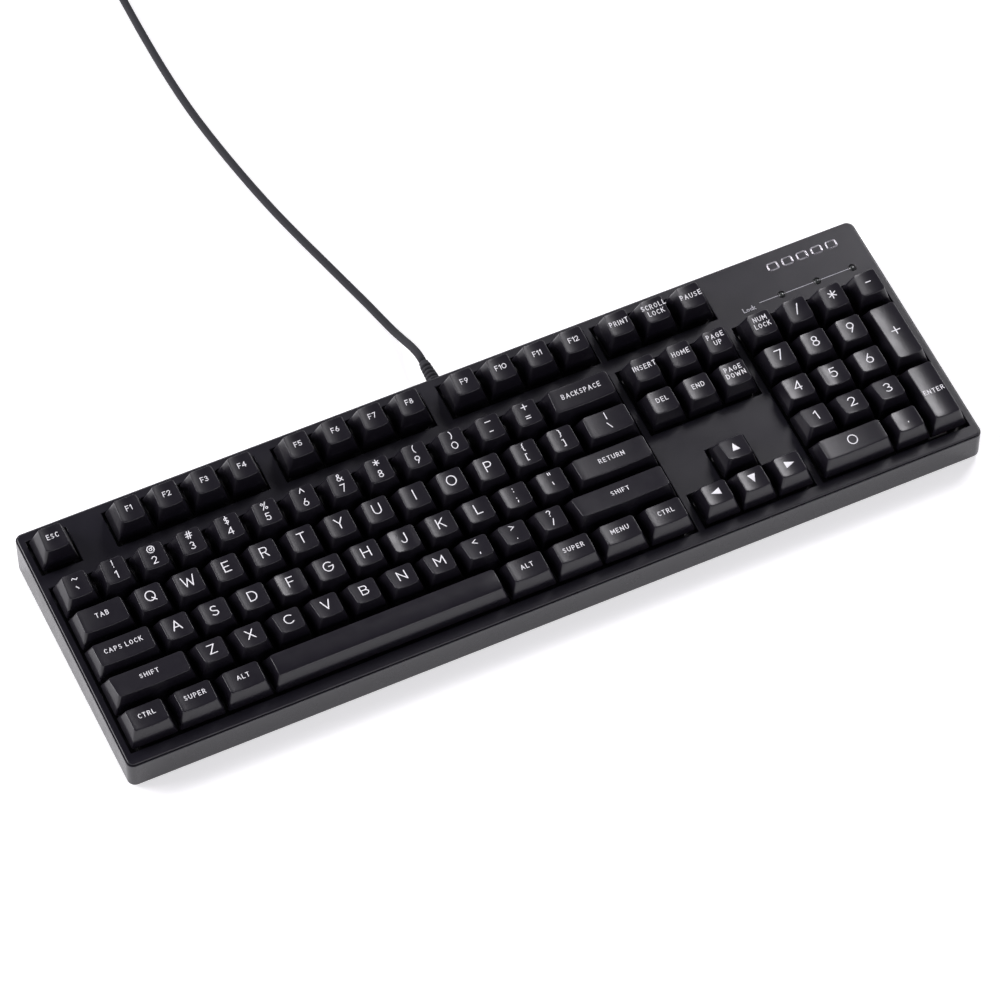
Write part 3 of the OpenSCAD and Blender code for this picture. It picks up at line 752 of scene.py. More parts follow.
def stroke_points(text: str) -> np.ndarray:
    """Reads one stroke: points "x,y" and arcs "@cx,cy,rx,ry,from,to" in degrees.

    A point of an arc is (cx + rx cos t, cy + ry sin t).

    Args:
        text: the stroke.

    Returns:
        Count by 2, in letter heights.
    """
    parts: list[np.ndarray] = []
    for word in text.split():
        numbers = [float(v) for v in word.lstrip("@").split(",")]
        if word[0] == "@":
            cx, cy, rx, ry, start, end = numbers
            t = np.radians(np.linspace(start, end, max(3, round(abs(end - start) / 18) + 1)))
            parts.append(np.column_stack([cx + rx * np.cos(t), cy + ry * np.sin(t)]))
        else:
            parts.append(np.array([numbers]))
    line = np.vstack(parts)
    keep = np.concatenate([[True], np.linalg.norm(np.diff(line, axis=0), axis=1) > 1e-4])
    return line[keep]


def smooth_runs(line: np.ndarray) -> list[np.ndarray]:
    """Cuts a stroke where it turns sharply, so that the parts overlap in a round corner."""
    way = np.diff(line, axis=0)
    angle = np.degrees(np.arctan2(way[:, 1], way[:, 0]))
    turn = np.abs((np.diff(angle) + 180) % 360 - 180)
    cuts = [0, *(np.nonzero(turn > SHARP_TURN)[0] + 1).tolist(), len(line) - 1]
    return [line[a:b + 1] for a, b in zip(cuts[:-1], cuts[1:])]


def glyph_runs(character: str) -> list[np.ndarray]:
    """All the smooth parts of a character's strokes, in letter heights."""
    return [run for stroke in GLYPHS[character].split(";") for run in smooth_runs(stroke_points(stroke))]


def line_of_text(text: str, pen: Pen) -> list[np.ndarray]:
    """Sets a word in a line, with its middle at 0, 0.

    Args:
        text: the word.
        pen: how it is drawn.

    Returns:
        The strokes' centre lines, in millimetres.
    """
    runs: list[np.ndarray] = []
    x = 0.0
    for character in text:
        if character == " ":
            x += pen.height * 0.5
            continue
        drawn = [r * pen.height * np.array([pen.width_of(character), 1.0]) for r in glyph_runs(character)]
        low = min(float(r[:, 0].min()) for r in drawn)
        high = max(float(r[:, 0].max()) for r in drawn)
        runs += [r + [x - low, -pen.height / 2] for r in drawn]
        x += high - low + pen.gap
    return [r - [(x - pen.gap) / 2, 0] for r in runs]


def inlaid(line: np.ndarray, width: np.ndarray, over: Height, proud: float) -> Surface:
    """A stroke that lies in a surface: a flat lens section swept along a line.

    The section's four points are the left edge and the right edge, sunk in the surface, and two
    points between them that stand proud of it. Width follows sqrt(1 - u^2) at the round ends.

    Args:
        line: the stroke's centre line, count by 2.
        width: the stroke's whole width at each point of the line.
        over: gives the surface's height at x and y.
        proud: how far the stroke stands out of the surface.

    Returns:
        The surface, closed.
    """
    way = np.gradient(line, axis=0)
    way /= np.maximum(np.linalg.norm(way, axis=1, keepdims=True), 1e-9)
    across = np.column_stack([-way[:, 1], way[:, 0]])
    share = np.array([1.0, FLAT_PART, -FLAT_PART, -1.0])
    lift = np.array([-SUNK, proud, proud, -SUNK])
    flat = line[:, None] + across[:, None] * (share[None, :, None] * width[:, None, None] / 2)
    z = over(flat[..., 0], flat[..., 1]) + lift[None]
    return grid(np.concatenate([flat, z[..., None]], -1))


def pen_stroke(line: np.ndarray, pen_width: float, over: Height, proud: float = PROUD) -> Surface:
    """A stroke of even width with round ends, cut finely enough to follow a dished surface."""
    fine = even(np.column_stack([line, np.zeros(len(line))]), min(0.9, pen_width * 1.6))[:, :2]
    half = pen_width / 2
    first, last = fine[1] - fine[0], fine[-1] - fine[-2]
    first, last = first / np.linalg.norm(first), last / np.linalg.norm(last)
    before = fine[0] - first * half * ROUND_END[:, None]
    after = fine[-1] + last * half * ROUND_END[::-1, None]
    taper = np.sqrt(1 - ROUND_END**2)
    width = pen_width * np.concatenate([taper, np.ones(len(fine)), taper[::-1]])
    return inlaid(np.vstack([before, fine, after]), width, over, proud)


def triangle_mark(size: float, turn: float, over: Height, proud: float = PROUD) -> Surface:
    """A solid arrow head that points up before it is turned: a stroke that tapers to a point."""
    t = np.linspace(0, 1, 7)
    line = np.column_stack([np.zeros_like(t), size * (t - 0.45)])
    c, s = math.cos(math.radians(turn)), math.sin(math.radians(turn))
    return inlaid(line @ np.array([[c, s], [-s, c]]), size * 1.12 * (1 - 0.97 * t), over, proud)


# ---------------------------------------------------------------- keys


LARGE = Pen(5.1, 0.72, 0.9)
STACKED = Pen(3.5, 0.6, 0.7)
WORD = Pen(2.3, 0.47, 1.02, 0.85)
FUNCTION_LABEL = Pen(2.4, 0.48, 0.75)
ROUND_LETTERS = "CGOQ"


@dataclass(frozen=True)
class Legend:
    """What a key bears: lines of text, or an arrow, and where its middle lies on the cap."""

    lines: tuple[str, ...] = ()
    pen: Pen = WORD
    back: float = 0.8
    leading: float = 3.5
    steps: tuple[float, ...] = (0.0, 0.0)
    arrow: float | None = None


def letter(text: str) -> Legend:
    """One large character in the middle of the cap."""
    return Legend((text,), LARGE, 0.6)


def pair(text: str) -> Legend:
    """Two characters, the shifted one behind and the plain one in front."""
    return Legend((text[0], text[1]), STACKED, 0.6, 5.5, (0.1, -0.1))


def words(text: str, back: float = 0.9) -> Legend:
    """One or two small words, one above the other."""
    return Legend(tuple(text.split("/")), WORD, back, 3.6)


def label(text: str) -> Legend:
    """A function key's label."""
    return Legend((text,), FUNCTION_LABEL, 0.5)


@dataclass(frozen=True)
class CapForm:
    """The form that every cap of one row shares.

    A side leans in by its taper for each millimetre of height. The top slopes by slope degrees,
    and brow is the radius of the edge between the top and the front.
    """

    height: float
    slope: float
    front: float
    back: float
    side: float = 0.28
    brow: float = 0.9


FORMS: dict[Row, CapForm] = {
    Row.FUNCTION: CapForm(12.2, 8, 0.24, 0.28),
    Row.NUMBER: CapForm(11.9, 8, 0.25, 0.28),
    Row.UPPER: CapForm(10.2, 3, 0.25, 0.33),
    Row.HOME: CapForm(9.6, -2, 0.24, 0.38),
    Row.LOWER: CapForm(10.5, -10, 0.20, 0.37),
    Row.SPACE: CapForm(10.1, -1, 0.25, 0.38, brow=1.3),
}


@dataclass(frozen=True)
class Keycap:
    """One key's cap: a shell with a dished or crowned top, and a socket for its slider.

    Sizes are in millimetres, and column, width and depth are in key pitches.
    """

    row: Row
    column: float
    width: float = 1.0
    depth: float = 1.0
    legend: Legend = field(default_factory=Legend)
    dish: float = 0.7
    crown: float = 0.0
    gap: float = 0.95
    skirt: float = 0.8
    wall: float = 1.5
    thick: float = 2.2
    edge: float = 0.34
    socket_r: float = 2.75
    socket_z: float = 1.5
    top_corner: float = 1.5
    inner_corner: float = 1.1
    plain_brow: float = 0.9
    arrow_size: float = 4.6
    stabilised_reach: float = 11.94
    space_reach: float = 50.0

    @property
    def centre(self) -> np.ndarray:
        """Where its middle lies on the deck."""
        y = DECK.row_y(self.row) + (self.depth - 1) * DECK.pitch / 2
        return np.array([DECK.column_x(self.column + self.width / 2), y, 0.0])

    @property
    def size(self) -> Pair:
        """Width and depth at its foot."""
        return self.width * DECK.pitch - self.gap, self.depth * DECK.pitch - self.gap

    def top(self, u: np.ndarray, v: np.ndarray, sink: float = 0.0, inset: float = 0.0) -> np.ndarray:
        """Points of the top surface for u and v from -1 to 1, left to right and front to back.

        The height in the middle is h = height - dish (1 - u^2), less a crown's sagitta. The front
        edge is where that plane meets the front face, z = (h - s d/2) / (1 - s k), the back edge
        likewise, and y runs evenly between them. x is u times the half width at that height.

        Args:
            u, v: arrays of one shape.
            sink: how far below the top the surface lies.
            inset: how far inside the walls.

        Returns:
            The arrays' shape, by 3.
        """
        form = FORMS[self.row]
        w, d = self.size
        w, d = w - 2 * inset, d - 2 * inset
        s = math.tan(math.radians(form.slope))
        h = form.height - sink - self.dish * (1 - np.clip(u, -1, 1) ** 2)
        front_z = (h - s * d / 2) / (1 - s * form.front)
        back_z = (h + s * d / 2) / (1 + s * form.back)
        front_y = -d / 2 + form.front * front_z
        back_y = d / 2 - form.back * back_z
        y = front_y + (v + 1) / 2 * (back_y - front_y)
        plane = form.height - sink + s * y
        z = h + s * y - self.rounding(y)
        return np.stack([u * (w / 2 - form.side * plane), y, z + self.skirt], -1)

    def rounding(self, y: np.ndarray) -> np.ndarray:
        """How far a crowned top falls away: r - sqrt(r^2 - y^2), and nothing without a crown."""
        if not self.crown:
            return np.zeros_like(y)
        return self.crown - np.sqrt(np.maximum(self.crown**2 - y**2, 0))

    def over(self, x: np.ndarray, y: np.ndarray) -> np.ndarray:
        """Height of the top surface at x and y, measured from the deck."""
        form = FORMS[self.row]
        s = math.tan(math.radians(form.slope))
        half = self.size[0] / 2 - form.side * (form.height + s * y)
        u = np.clip(x / half, -1, 1)
        return form.height - self.dish * (1 - u**2) + s * y - self.rounding(y) + self.skirt

    def steps(self) -> tuple[int, int]:
        """Steps along its front and its side."""
        return max(6, round(5 * self.width)), max(4, round(4 * self.depth))

    def shell(self) -> Surface:
        """The cap's surface, from its socket out, round its rim and over its top.

        Rings run up the outside from the foot to the top's edge, round the edge along
        (1 - t)^2 A + 2 t (1 - t) B + t^2 C, and in over the top to its middle. Inside, they run
        from the rim up to the ceiling and down the socket.

        Returns:
            The closed surface, about the cap's own middle.
        """
        form = FORMS[self.row]
        w, d = self.size
        along, side = self.steps()
        foot = ring_box(w / 2, d / 2, 1.0, along, side)
        foot = np.column_stack([foot, np.full(len(foot), self.skirt)])
        a, b = w / 2 - form.side * form.height, d / 2 - (form.front + form.back) / 2 * form.height

        def unit(inset: float, radius: float) -> tuple[np.ndarray, np.ndarray]:
            ring = ring_box(a - inset, b - inset, radius, along, side) / [a, b]
            return ring[:, 0], ring[:, 1]

        u, v = unit(0.0, self.top_corner)
        rim = self.top(u, v)
        forward = np.clip(-v, 0, 1) ** 4
        fall = self.edge + (form.brow - self.plain_brow) * forward
        way = foot - rim
        way /= np.linalg.norm(way, axis=1, keepdims=True)
        start = rim + way * fall[:, None]
        inner_u, inner_v = unit(self.edge, self.inner_corner)
        inner_v = inner_v + (form.brow - self.plain_brow) / b * forward
        inner = self.top(inner_u, inner_v)
        rings = [foot, foot + (start - foot) * 0.5, start]
        for t in (0.25, 0.5, 0.75, 1.0):
            rings.append((1 - t) ** 2 * start + 2 * t * (1 - t) * rim + t * t * inner)
        for k in (0.86, 0.7, 0.53, 0.36, 0.18, 0.06):
            rings.append(self.top(inner_u * k, inner_v * k))
        lip = ring_box(w / 2 - self.wall, d / 2 - self.wall, 0.6, along, side)
        lip = np.column_stack([lip, np.full(len(lip), self.skirt)])
        ceiling = self.top(*unit(0.0, 0.6), sink=self.thick, inset=self.wall)
        round_way = np.arctan2(foot[:, 1] / d, foot[:, 0] / w)[:, None]
        circle = self.socket_r * np.hstack([np.cos(round_way), np.sin(round_way)])
        base = np.column_stack([circle, np.full(len(circle), self.socket_z)])
        high = np.column_stack([circle, self.over(circle[:, 0], circle[:, 1]) - self.thick])
        return grid(np.array([base, high, ceiling, lip] + rings))

    def lettering(self) -> list[Surface]:
        """The legend's strokes, set into the top."""
        mark = self.legend
        middle = self.top(np.zeros(1), np.zeros(1))[0, 1]
        if mark.arrow is not None:
            at = middle + mark.back
            head = triangle_mark(self.arrow_size, mark.arrow, lambda x, y: self.over(x, y + at))
            return [head.moved(lambda p: p + [0, at, 0])]
        found: list[Surface] = []
        count = len(mark.lines)
        for i, text in enumerate(mark.lines):
            dy = middle + mark.back + (count - 1) / 2 * mark.leading - i * mark.leading
            dx = mark.steps[i] if count > 1 else 0.0
            for run in line_of_text(text, mark.pen):
                found.append(pen_stroke(run + [dx, dy], mark.pen.stroke, self.over))
        return found

    @property
    def sockets(self) -> list[Pair]:
        """Where its stabiliser's posts are."""
        if max(self.width, self.depth) < 2:
            return []
        reach = self.space_reach if self.width > 6 else self.stabilised_reach
        return [(0.0, -reach), (0.0, reach)] if self.depth > self.width else [(-reach, 0.0), (reach, 0.0)]


# ---------------------------------------------------------------- the keyboard's assemblies


@dataclass(frozen=True)
class Bank:
    """The keys that move together, as one body."""

    body: str
    caps: tuple[Keycap, ...]


def run_of(row: Row, column: float, legends: Sequence[Legend]) -> tuple[Keycap, ...]:
    """Keys one pitch wide, side by side."""
    return tuple(Keycap(row, column + i, legend=mark) for i, mark in enumerate(legends))


def single(body: str, row: Row, column: float, width: float, legend: Legend, **more: float) -> Bank:
    """A bank of one key."""
    return Bank(body, (Keycap(row, column, width, legend=legend, **more),))


def letters(text: str) -> list[Legend]:
    """A large character for each key."""
    return [letter(c) for c in text]


def pairs(text: str) -> list[Legend]:
    """Two characters for each key."""
    return [pair(text[i:i + 2]) for i in range(0, len(text), 2)]


def deepened(caps: Sequence[Keycap], column: float) -> tuple[Keycap, ...]:
    """The same keys, with a deeper dish on the one that fingers find by feel."""
    return tuple(
        Keycap(c.row, c.column, legend=c.legend, dish=1.15) if abs(c.column - column) < 0.1 else c for c in caps
    )


def make_banks() -> list[Bank]:
    """Every bank of keys, with its legends."""
    f, n, u, h, low, s = Row
    digits = run_of(u, 18.5, letters("789")) + deepened(run_of(h, 18.5, letters("456")), 19.5)
    digits += run_of(low, 18.5, letters("123")) + run_of(s, 20.5, letters("."))
    upper = run_of(u, 6.5, letters("YUIOP") + pairs("{[}]")) + (Keycap(u, 13.5, 1.5, legend=pair("|\\")),)
    editing = run_of(n, 15.25, [words(t) for t in ("INSERT", "HOME", "PAGE/UP")])
    editing += run_of(u, 15.25, [words(t) for t in ("DEL", "END", "PAGE/DOWN")])
    return [
        Bank("escape_key", run_of(f, 0, [words("ESC", 0.8)])),
        Bank("f1_to_f4_keys", run_of(f, 2, [label(f"F{i}") for i in range(1, 5)])),
        Bank("f5_to_f8_keys", run_of(f, 6.5, [label(f"F{i}") for i in range(5, 9)])),
        Bank("f9_to_f12_keys", run_of(f, 11, [label(f"F{i}") for i in range(9, 13)])),
        Bank("print_scroll_pause_keys", run_of(f, 15.25, [words(t, 0.3) for t in ("PRINT", "SCROLL/LOCK", "PAUSE")])),
        Bank("number_keys_left", run_of(n, 0, pairs("~`!1@2#3$4%5"))),
        Bank("number_keys_right", run_of(n, 6, pairs("^6&7*8(9)0_-+="))),
        single("backspace_key", n, 13, 2, words("BACKSPACE")),
        single("tab_key", u, 0, 1.5, words("TAB")),
        Bank("letter_keys_upper_left", run_of(u, 1.5, letters("QWERT"))),
        Bank("letter_keys_upper_right", upper),
        single("caps_lock_key", h, 0, 1.75, words("CAPS LOCK")),
        Bank("letter_keys_home_left", deepened(run_of(h, 1.75, letters("ASDFG")), 4.75)),
        Bank("letter_keys_home_right", deepened(run_of(h, 6.75, letters("HJKL") + pairs(":;\"'")), 7.75)),
        single("return_key", h, 12.75, 2.25, words("RETURN")),
        single("shift_key_left", low, 0, 2.25, words("SHIFT")),
        Bank("letter_keys_lower_left", run_of(low, 2.25, letters("ZXCVB"))),
        Bank("letter_keys_lower_right", run_of(low, 7.25, letters("NM") + pairs("<,>.?/"))),
        single("shift_key_right", low, 12.25, 2.75, words("SHIFT")),
        single("ctrl_key_left", s, 0, 1.25, words("CTRL")),
        single("system_key_left", s, 1.25, 1.25, words("SUPER")),
        single("alt_key_left", s, 2.5, 1.25, words("ALT")),
        single("space_bar", s, 3.75, 6.25, Legend(), dish=0.0, crown=22.0),
        single("alt_key_right", s, 10, 1.25, words("ALT")),
        single("system_key_right", s, 11.25, 1.25, words("SUPER")),
        single("menu_key", s, 12.5, 1.25, words("MENU")),
        single("ctrl_key_right", s, 13.75, 1.25, words("CTRL")),
        Bank("editing_keys", editing),
        single("arrow_key_up", low, 16.25, 1, Legend(arrow=0.0, back=0.4)),
        single("arrow_key_left", s, 15.25, 1, Legend(arrow=90.0)),
        single("arrow_key_down", s, 16.25, 1, Legend(arrow=180.0)),
        single("arrow_key_right", s, 17.25, 1, Legend(arrow=270.0)),
        Bank("keypad_top_keys", run_of(n, 18.5, [words("NUM/LOCK"), letter("/"), letter("*"), letter("-")])),
        Bank("keypad_digit_keys", digits),
        single("keypad_plus_key", h, 21.5, 1, Legend(("+",), LARGE, 0.1), depth=2.0),
        single("keypad_enter_key", s, 21.5, 1, words("ENTER", -0.2), depth=2.0),
        single("keypad_zero_key", s, 18.5, 2, letter("O")),
    ]


@dataclass
class Keys:
    """Caps, legends and sliders of every bank, each kind merged into one piece on its bank's body."""

    banks: list[Bank]
    slider_top: float = 4.6
    slider_base: float = 1.3
    slider_size: Pair = (7.0, 5.6)
    shoulder: float = -2.3
    shoulder_size: Triple = (9.0, 5.6, 2.0)
    cross: Pair = (4.0, 1.2)
    pole_r: float = 1.0
    pole_low: float = -7.6
    post_size: Pair = (4.0, 6.0)
    post_low: float = -4.6
    overlap: float = 0.01

    def build(self) -> None:
        """Makes each bank's caps and sliders, and its legends where it has any."""
        for bank in self.banks:
            caps = [self.at(cap, cap.shell()) for cap in bank.caps]
            caps += [self.at(cap, self.post(cap, p)) for cap in bank.caps for p in cap.sockets]
            make_piece(f"{bank.body}_caps", joined(caps).moved(DECK.place), bank.body, CAP, replaces=[bank.body])
            marks = [self.at(cap, mark) for cap in bank.caps for mark in cap.lettering()]
            if marks:
                make_piece(f"{bank.body}_legends", joined(marks).moved(DECK.place), bank.body, INLAY)
            stems = [self.at(cap, s) for cap in bank.caps for s in self.slider(cap)]
            make_piece(f"{bank.body}_sliders", joined(stems).moved(DECK.place), bank.body, STEM, Edge.CRISP)

    def at(self, cap: Keycap, surface: Surface) -> Surface:
        """Moves a cap's surface to its place on the deck."""
        return surface.moved(lambda p: p + cap.centre)

    def post(self, cap: Keycap, at: Pair) -> Surface:
        """A stabiliser's socket under a cap."""
        high = float(cap.over(np.array(at[0]), np.array(at[1]))) - cap.thick + 0.4
        r, low = cap.socket_r, cap.socket_z
        return lathe([(r - 0.2, low), (r, low + 0.2), (r, high)], 20).moved(lambda p: p + [at[0], at[1], 0.0])

    def cross_bars(self, low: float) -> list[Surface]:
        """The two bars of a slider's cross, from a height up to the slider's top."""
        long, thin = self.cross
        return [box(long, thin, low, self.slider_top), box(thin, long, low, self.slider_top)]

    def slider(self, cap: Keycap) -> list[Surface]:
        """The slider's body, shoulder, cross and pole, and its stabiliser's two posts."""
        wide, deep, thick = self.shoulder_size
        r = self.pole_r
        parts = [
            box(*self.slider_size, self.shoulder, self.slider_base),
            box(wide, deep, self.shoulder, self.shoulder + thick),
            *self.cross_bars(self.slider_base - self.overlap),
            lathe([(r - 0.3, self.pole_low), (r, self.pole_low + 0.4), (r, self.shoulder + self.overlap)], 12),
        ]
        post = self.post_size[::-1] if cap.depth > cap.width else self.post_size
        for x, y in cap.sockets:
            foot = [box(*post, self.post_low, self.slider_base), *self.cross_bars(self.slider_base)]
            parts += [f.moved(lambda p: p + [x, y, 0.0]) for f in foot]
        return parts


def box(w: float, d: float, low: float, high: float) -> Surface:
    """A plain block about 0, 0."""
    corners = np.array([[-w, -d], [w, -d], [w, d], [-w, d]]) / 2
    return prism(corners, low, high)


@dataclass
class DeckMarks:
    """What is printed and set in the deck behind the keypad: a word, a line, a badge and three lights."""

    line_y: float = 111.25
    line_x: Pair = (156.6, 205.5)
    line_stroke: float = 0.38
    ink_proud: float = 0.02
    lights_x: tuple[float, ...] = (168.4875, 187.5375, 206.5875)
    lights_y: float = 111.25
    light_r: float = 1.5
    bezel_section: tuple[Pair, ...] = (
        (1.55, -2.4), (1.6, 0.05), (1.75, 0.16), (2.05, 0.12), (2.2, -0.1), (2.2, -0.3),
    )
    word_at: Pair = (150.3, 110.0)
    word_pen: Pen = Pen(2.3, 0.58, 0.5)
    badge_at: Pair = (187.8, 127.8)
    badge_size: Pair = (6.0, 4.9)
    badge_line: float = 0.95
    badge_corner: float = 1.4
    badge_soft: float = 0.08
    badge_lift: tuple[float, ...] = (-0.2, 0.06, 0.06, -0.2)
    badge_pitch: float = 7.9
    badge_count: int = 5

    def build(self) -> None:
        """Makes the printed marks and the lights, on the case."""
        lines = [(r + np.array(self.word_at), self.word_pen.stroke) for r in line_of_text("Lock", self.word_pen)]
        lines.append((np.array([[self.line_x[0], self.line_y], [self.line_x[1], self.line_y]]), self.line_stroke))
        marks = [pen_stroke(line, width, lambda x, y: np.zeros_like(x), self.ink_proud) for line, width in lines]
        make_piece("deck_marks", joined(marks).moved(DECK.place), "case", MARK)
        badge = [self.pill(i) for i in range(self.badge_count)]
        make_piece("deck_badge", joined(badge).moved(DECK.place), "case", BADGE)
        rings = [self.bezel(x) for x in self.lights_x]
        make_piece("light_bezels", joined(rings).moved(DECK.place), "case", RING)
        r = self.light_r
        dome = [(r * math.cos(t), -0.55 + 0.62 * r * math.sin(t)) for t in np.radians([0, 18, 36, 54, 72, 86])]
        lens = lathe([(r, -10.6)] + dome, 32)
        lenses = [lens.moved(lambda p: p + [x, self.lights_y, 0.0]) for x in self.lights_x]
        make_piece("light_lenses", joined(lenses).moved(DECK.place), "case", LENS, replaces=["indicator_leds"])

    def pill(self, place: int) -> Surface:
        """One plain outlined block of the badge."""
        a, b = self.badge_size[0] / 2, self.badge_size[1] / 2
        x = self.badge_at[0] + (place - (self.badge_count - 1) / 2) * self.badge_pitch
        insets = (0.0, self.badge_soft, self.badge_line - self.badge_soft, self.badge_line)
        rings = np.array([ring_box(a - k, b - k, self.badge_corner - k, 4, 4, 5) for k in insets])
        z = np.broadcast_to(np.array(self.badge_lift)[:, None, None], rings.shape[:2] + (1,))
        points = np.concatenate([rings + [x, self.badge_at[1]], z], -1)
        return grid(points, loop_rows=True)

    def bezel(self, x: float) -> Surface:
        """A light's sunken rim: a flat ring with a round outer edge, just proud of the deck."""
        t = np.linspace(0, 2 * np.pi, 33)[:-1]
        rings = [np.column_stack([r * np.cos(t) + x, r * np.sin(t) + self.lights_y, np.full(len(t), z)])
                 for r, z in self.bezel_section]
        return grid(np.array(rings), loop_rows=True)


@dataclass
class Case:
    """The cover and the lower shell with rounded edges, and the folding feet and rubber pads."""

    cover_edge: float = 0.5
    shell_edge: float = 0.3
    shell_foot_edge: float = 1.6
    foot_edge: float = 0.35
    pad_edge: float = 0.35
    hole_clear: float = 7.0
    corner_r: float = 4.0
    corner_slack: float = 0.1
    on_face: float = 0.02
    top_above: float = 8.0

    def deck_rims(self, points: np.ndarray) -> np.ndarray:
        """Points in the deck's own plane, apart from those round the indicator lights."""
        local = DECK.unplace(points)
        lights = np.array([[x, DeckMarks.lights_y] for x in DeckMarks.lights_x])
        near = np.linalg.norm(local[:, None, :2] - lights[None], axis=2).min(1) < self.hole_clear
        return (np.abs(local[:, 2]) < self.on_face) & ~near

    def shell_rims(self, points: np.ndarray) -> np.ndarray:
        """Points on the shell's outer walls, apart from those round the cable's outlet."""
        p = points / MM
        low, high = (np.array(c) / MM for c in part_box("bottom_case"))
        inset = np.minimum(p - low, high - p)[:, :2]
        r = self.corner_r
        in_corner = (inset.max(1) < r + self.corner_slack / 2) & (np.linalg.norm(r - inset, axis=1) > r - self.corner_slack)
        outer = (inset.min(1) < self.on_face) | in_corner
        return outer & ~((np.abs(p[:, 0]) < self.hole_clear) & (p[:, 1] > 0))

    def shell_foot(self, points: np.ndarray) -> np.ndarray:
        """Points round the shell's underside."""
        return self.shell_rims(points) & (points[:, 2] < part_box("bottom_case")[0][2] + 0.1 * MM)

    def shell_top(self, points: np.ndarray) -> np.ndarray:
        """Points round the shell's upper rim."""
        return self.shell_rims(points) & (points[:, 2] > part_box("bottom_case")[0][2] + self.top_above * MM)

    def build(self) -> None:
        """Makes softened copies of the moulded pieces and finishes the rest."""
        softened_copy("top_case", "deck_cover", "case", COVER, [(self.cover_edge, self.deck_rims)])
        softened_copy("bottom_case", "lower_shell", "case", SHELL,
                      [(self.shell_foot_edge, self.shell_foot), (self.shell_edge, self.shell_top)])
        for side in ("left", "right"):
            softened_copy(f"foot_{side}", f"folding_foot_{side}", f"foot_{side}", COVER,
                          [(self.foot_edge, everywhere)])
        softened_copy("rubber_feet", "rubber_pads", "case", RUBBER, [(self.pad_edge, everywhere)])
        refinish("case_screws", SCREW)


@dataclass
class SwitchBed:
    """What lies under the keys: plate, switches, stabilisers, springs and circuit board."""

    banks: list[Bank]
    spring_r: float = 1.86
    wire_r: float = 0.16
    spring_low: float = -9.5
    spring_high: float = -2.5
    pressed_share: float = 0.43
    turns: int = 8

    def build(self) -> None:
        """Makes the springs' coils, one piece for each bank on the case, and finishes the rest."""
        coil = self.spring()
        for bank in self.banks:
            springs = [coil.moved(lambda p: p + cap.centre) for cap in bank.caps]
            made = make_piece(f"{bank.body}_springs", joined(springs).moved(DECK.place), "case", SPRING,
                              replaces=["switch_springs"])
            low = DECK.place(bank.caps[0].centre + [0, 0, self.spring_low])
            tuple(DECK.up)
            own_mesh(made)
        for node, finish in (
            ("mounting_plate", PLATE), ("circuit_board", BOARD), ("switch_lower_housings", HOUSING),
            ("switch_upper_housings", HOUSING), ("stabiliser_housings", HOUSING), ("stabiliser_wires", SPRING),
            ("controller_chip", CHIP), ("board_socket", SOCKET), ("inner_lead", JACKET),
        ):
            refinish(node, finish)

    def spring(self) -> Surface:
        """One coil spring: a thin tube along x = r cos a, y = r sin a, z rising evenly with a."""
        a = np.linspace(0, 2 * np.pi * self.turns, self.turns * 8 + 1)
        z = np.linspace(self.spring_low, self.spring_high, len(a))
        return tube(np.column_stack([self.spring_r * np.cos(a), self.spring_r * np.sin(a), z]), self.wire_r, 4)


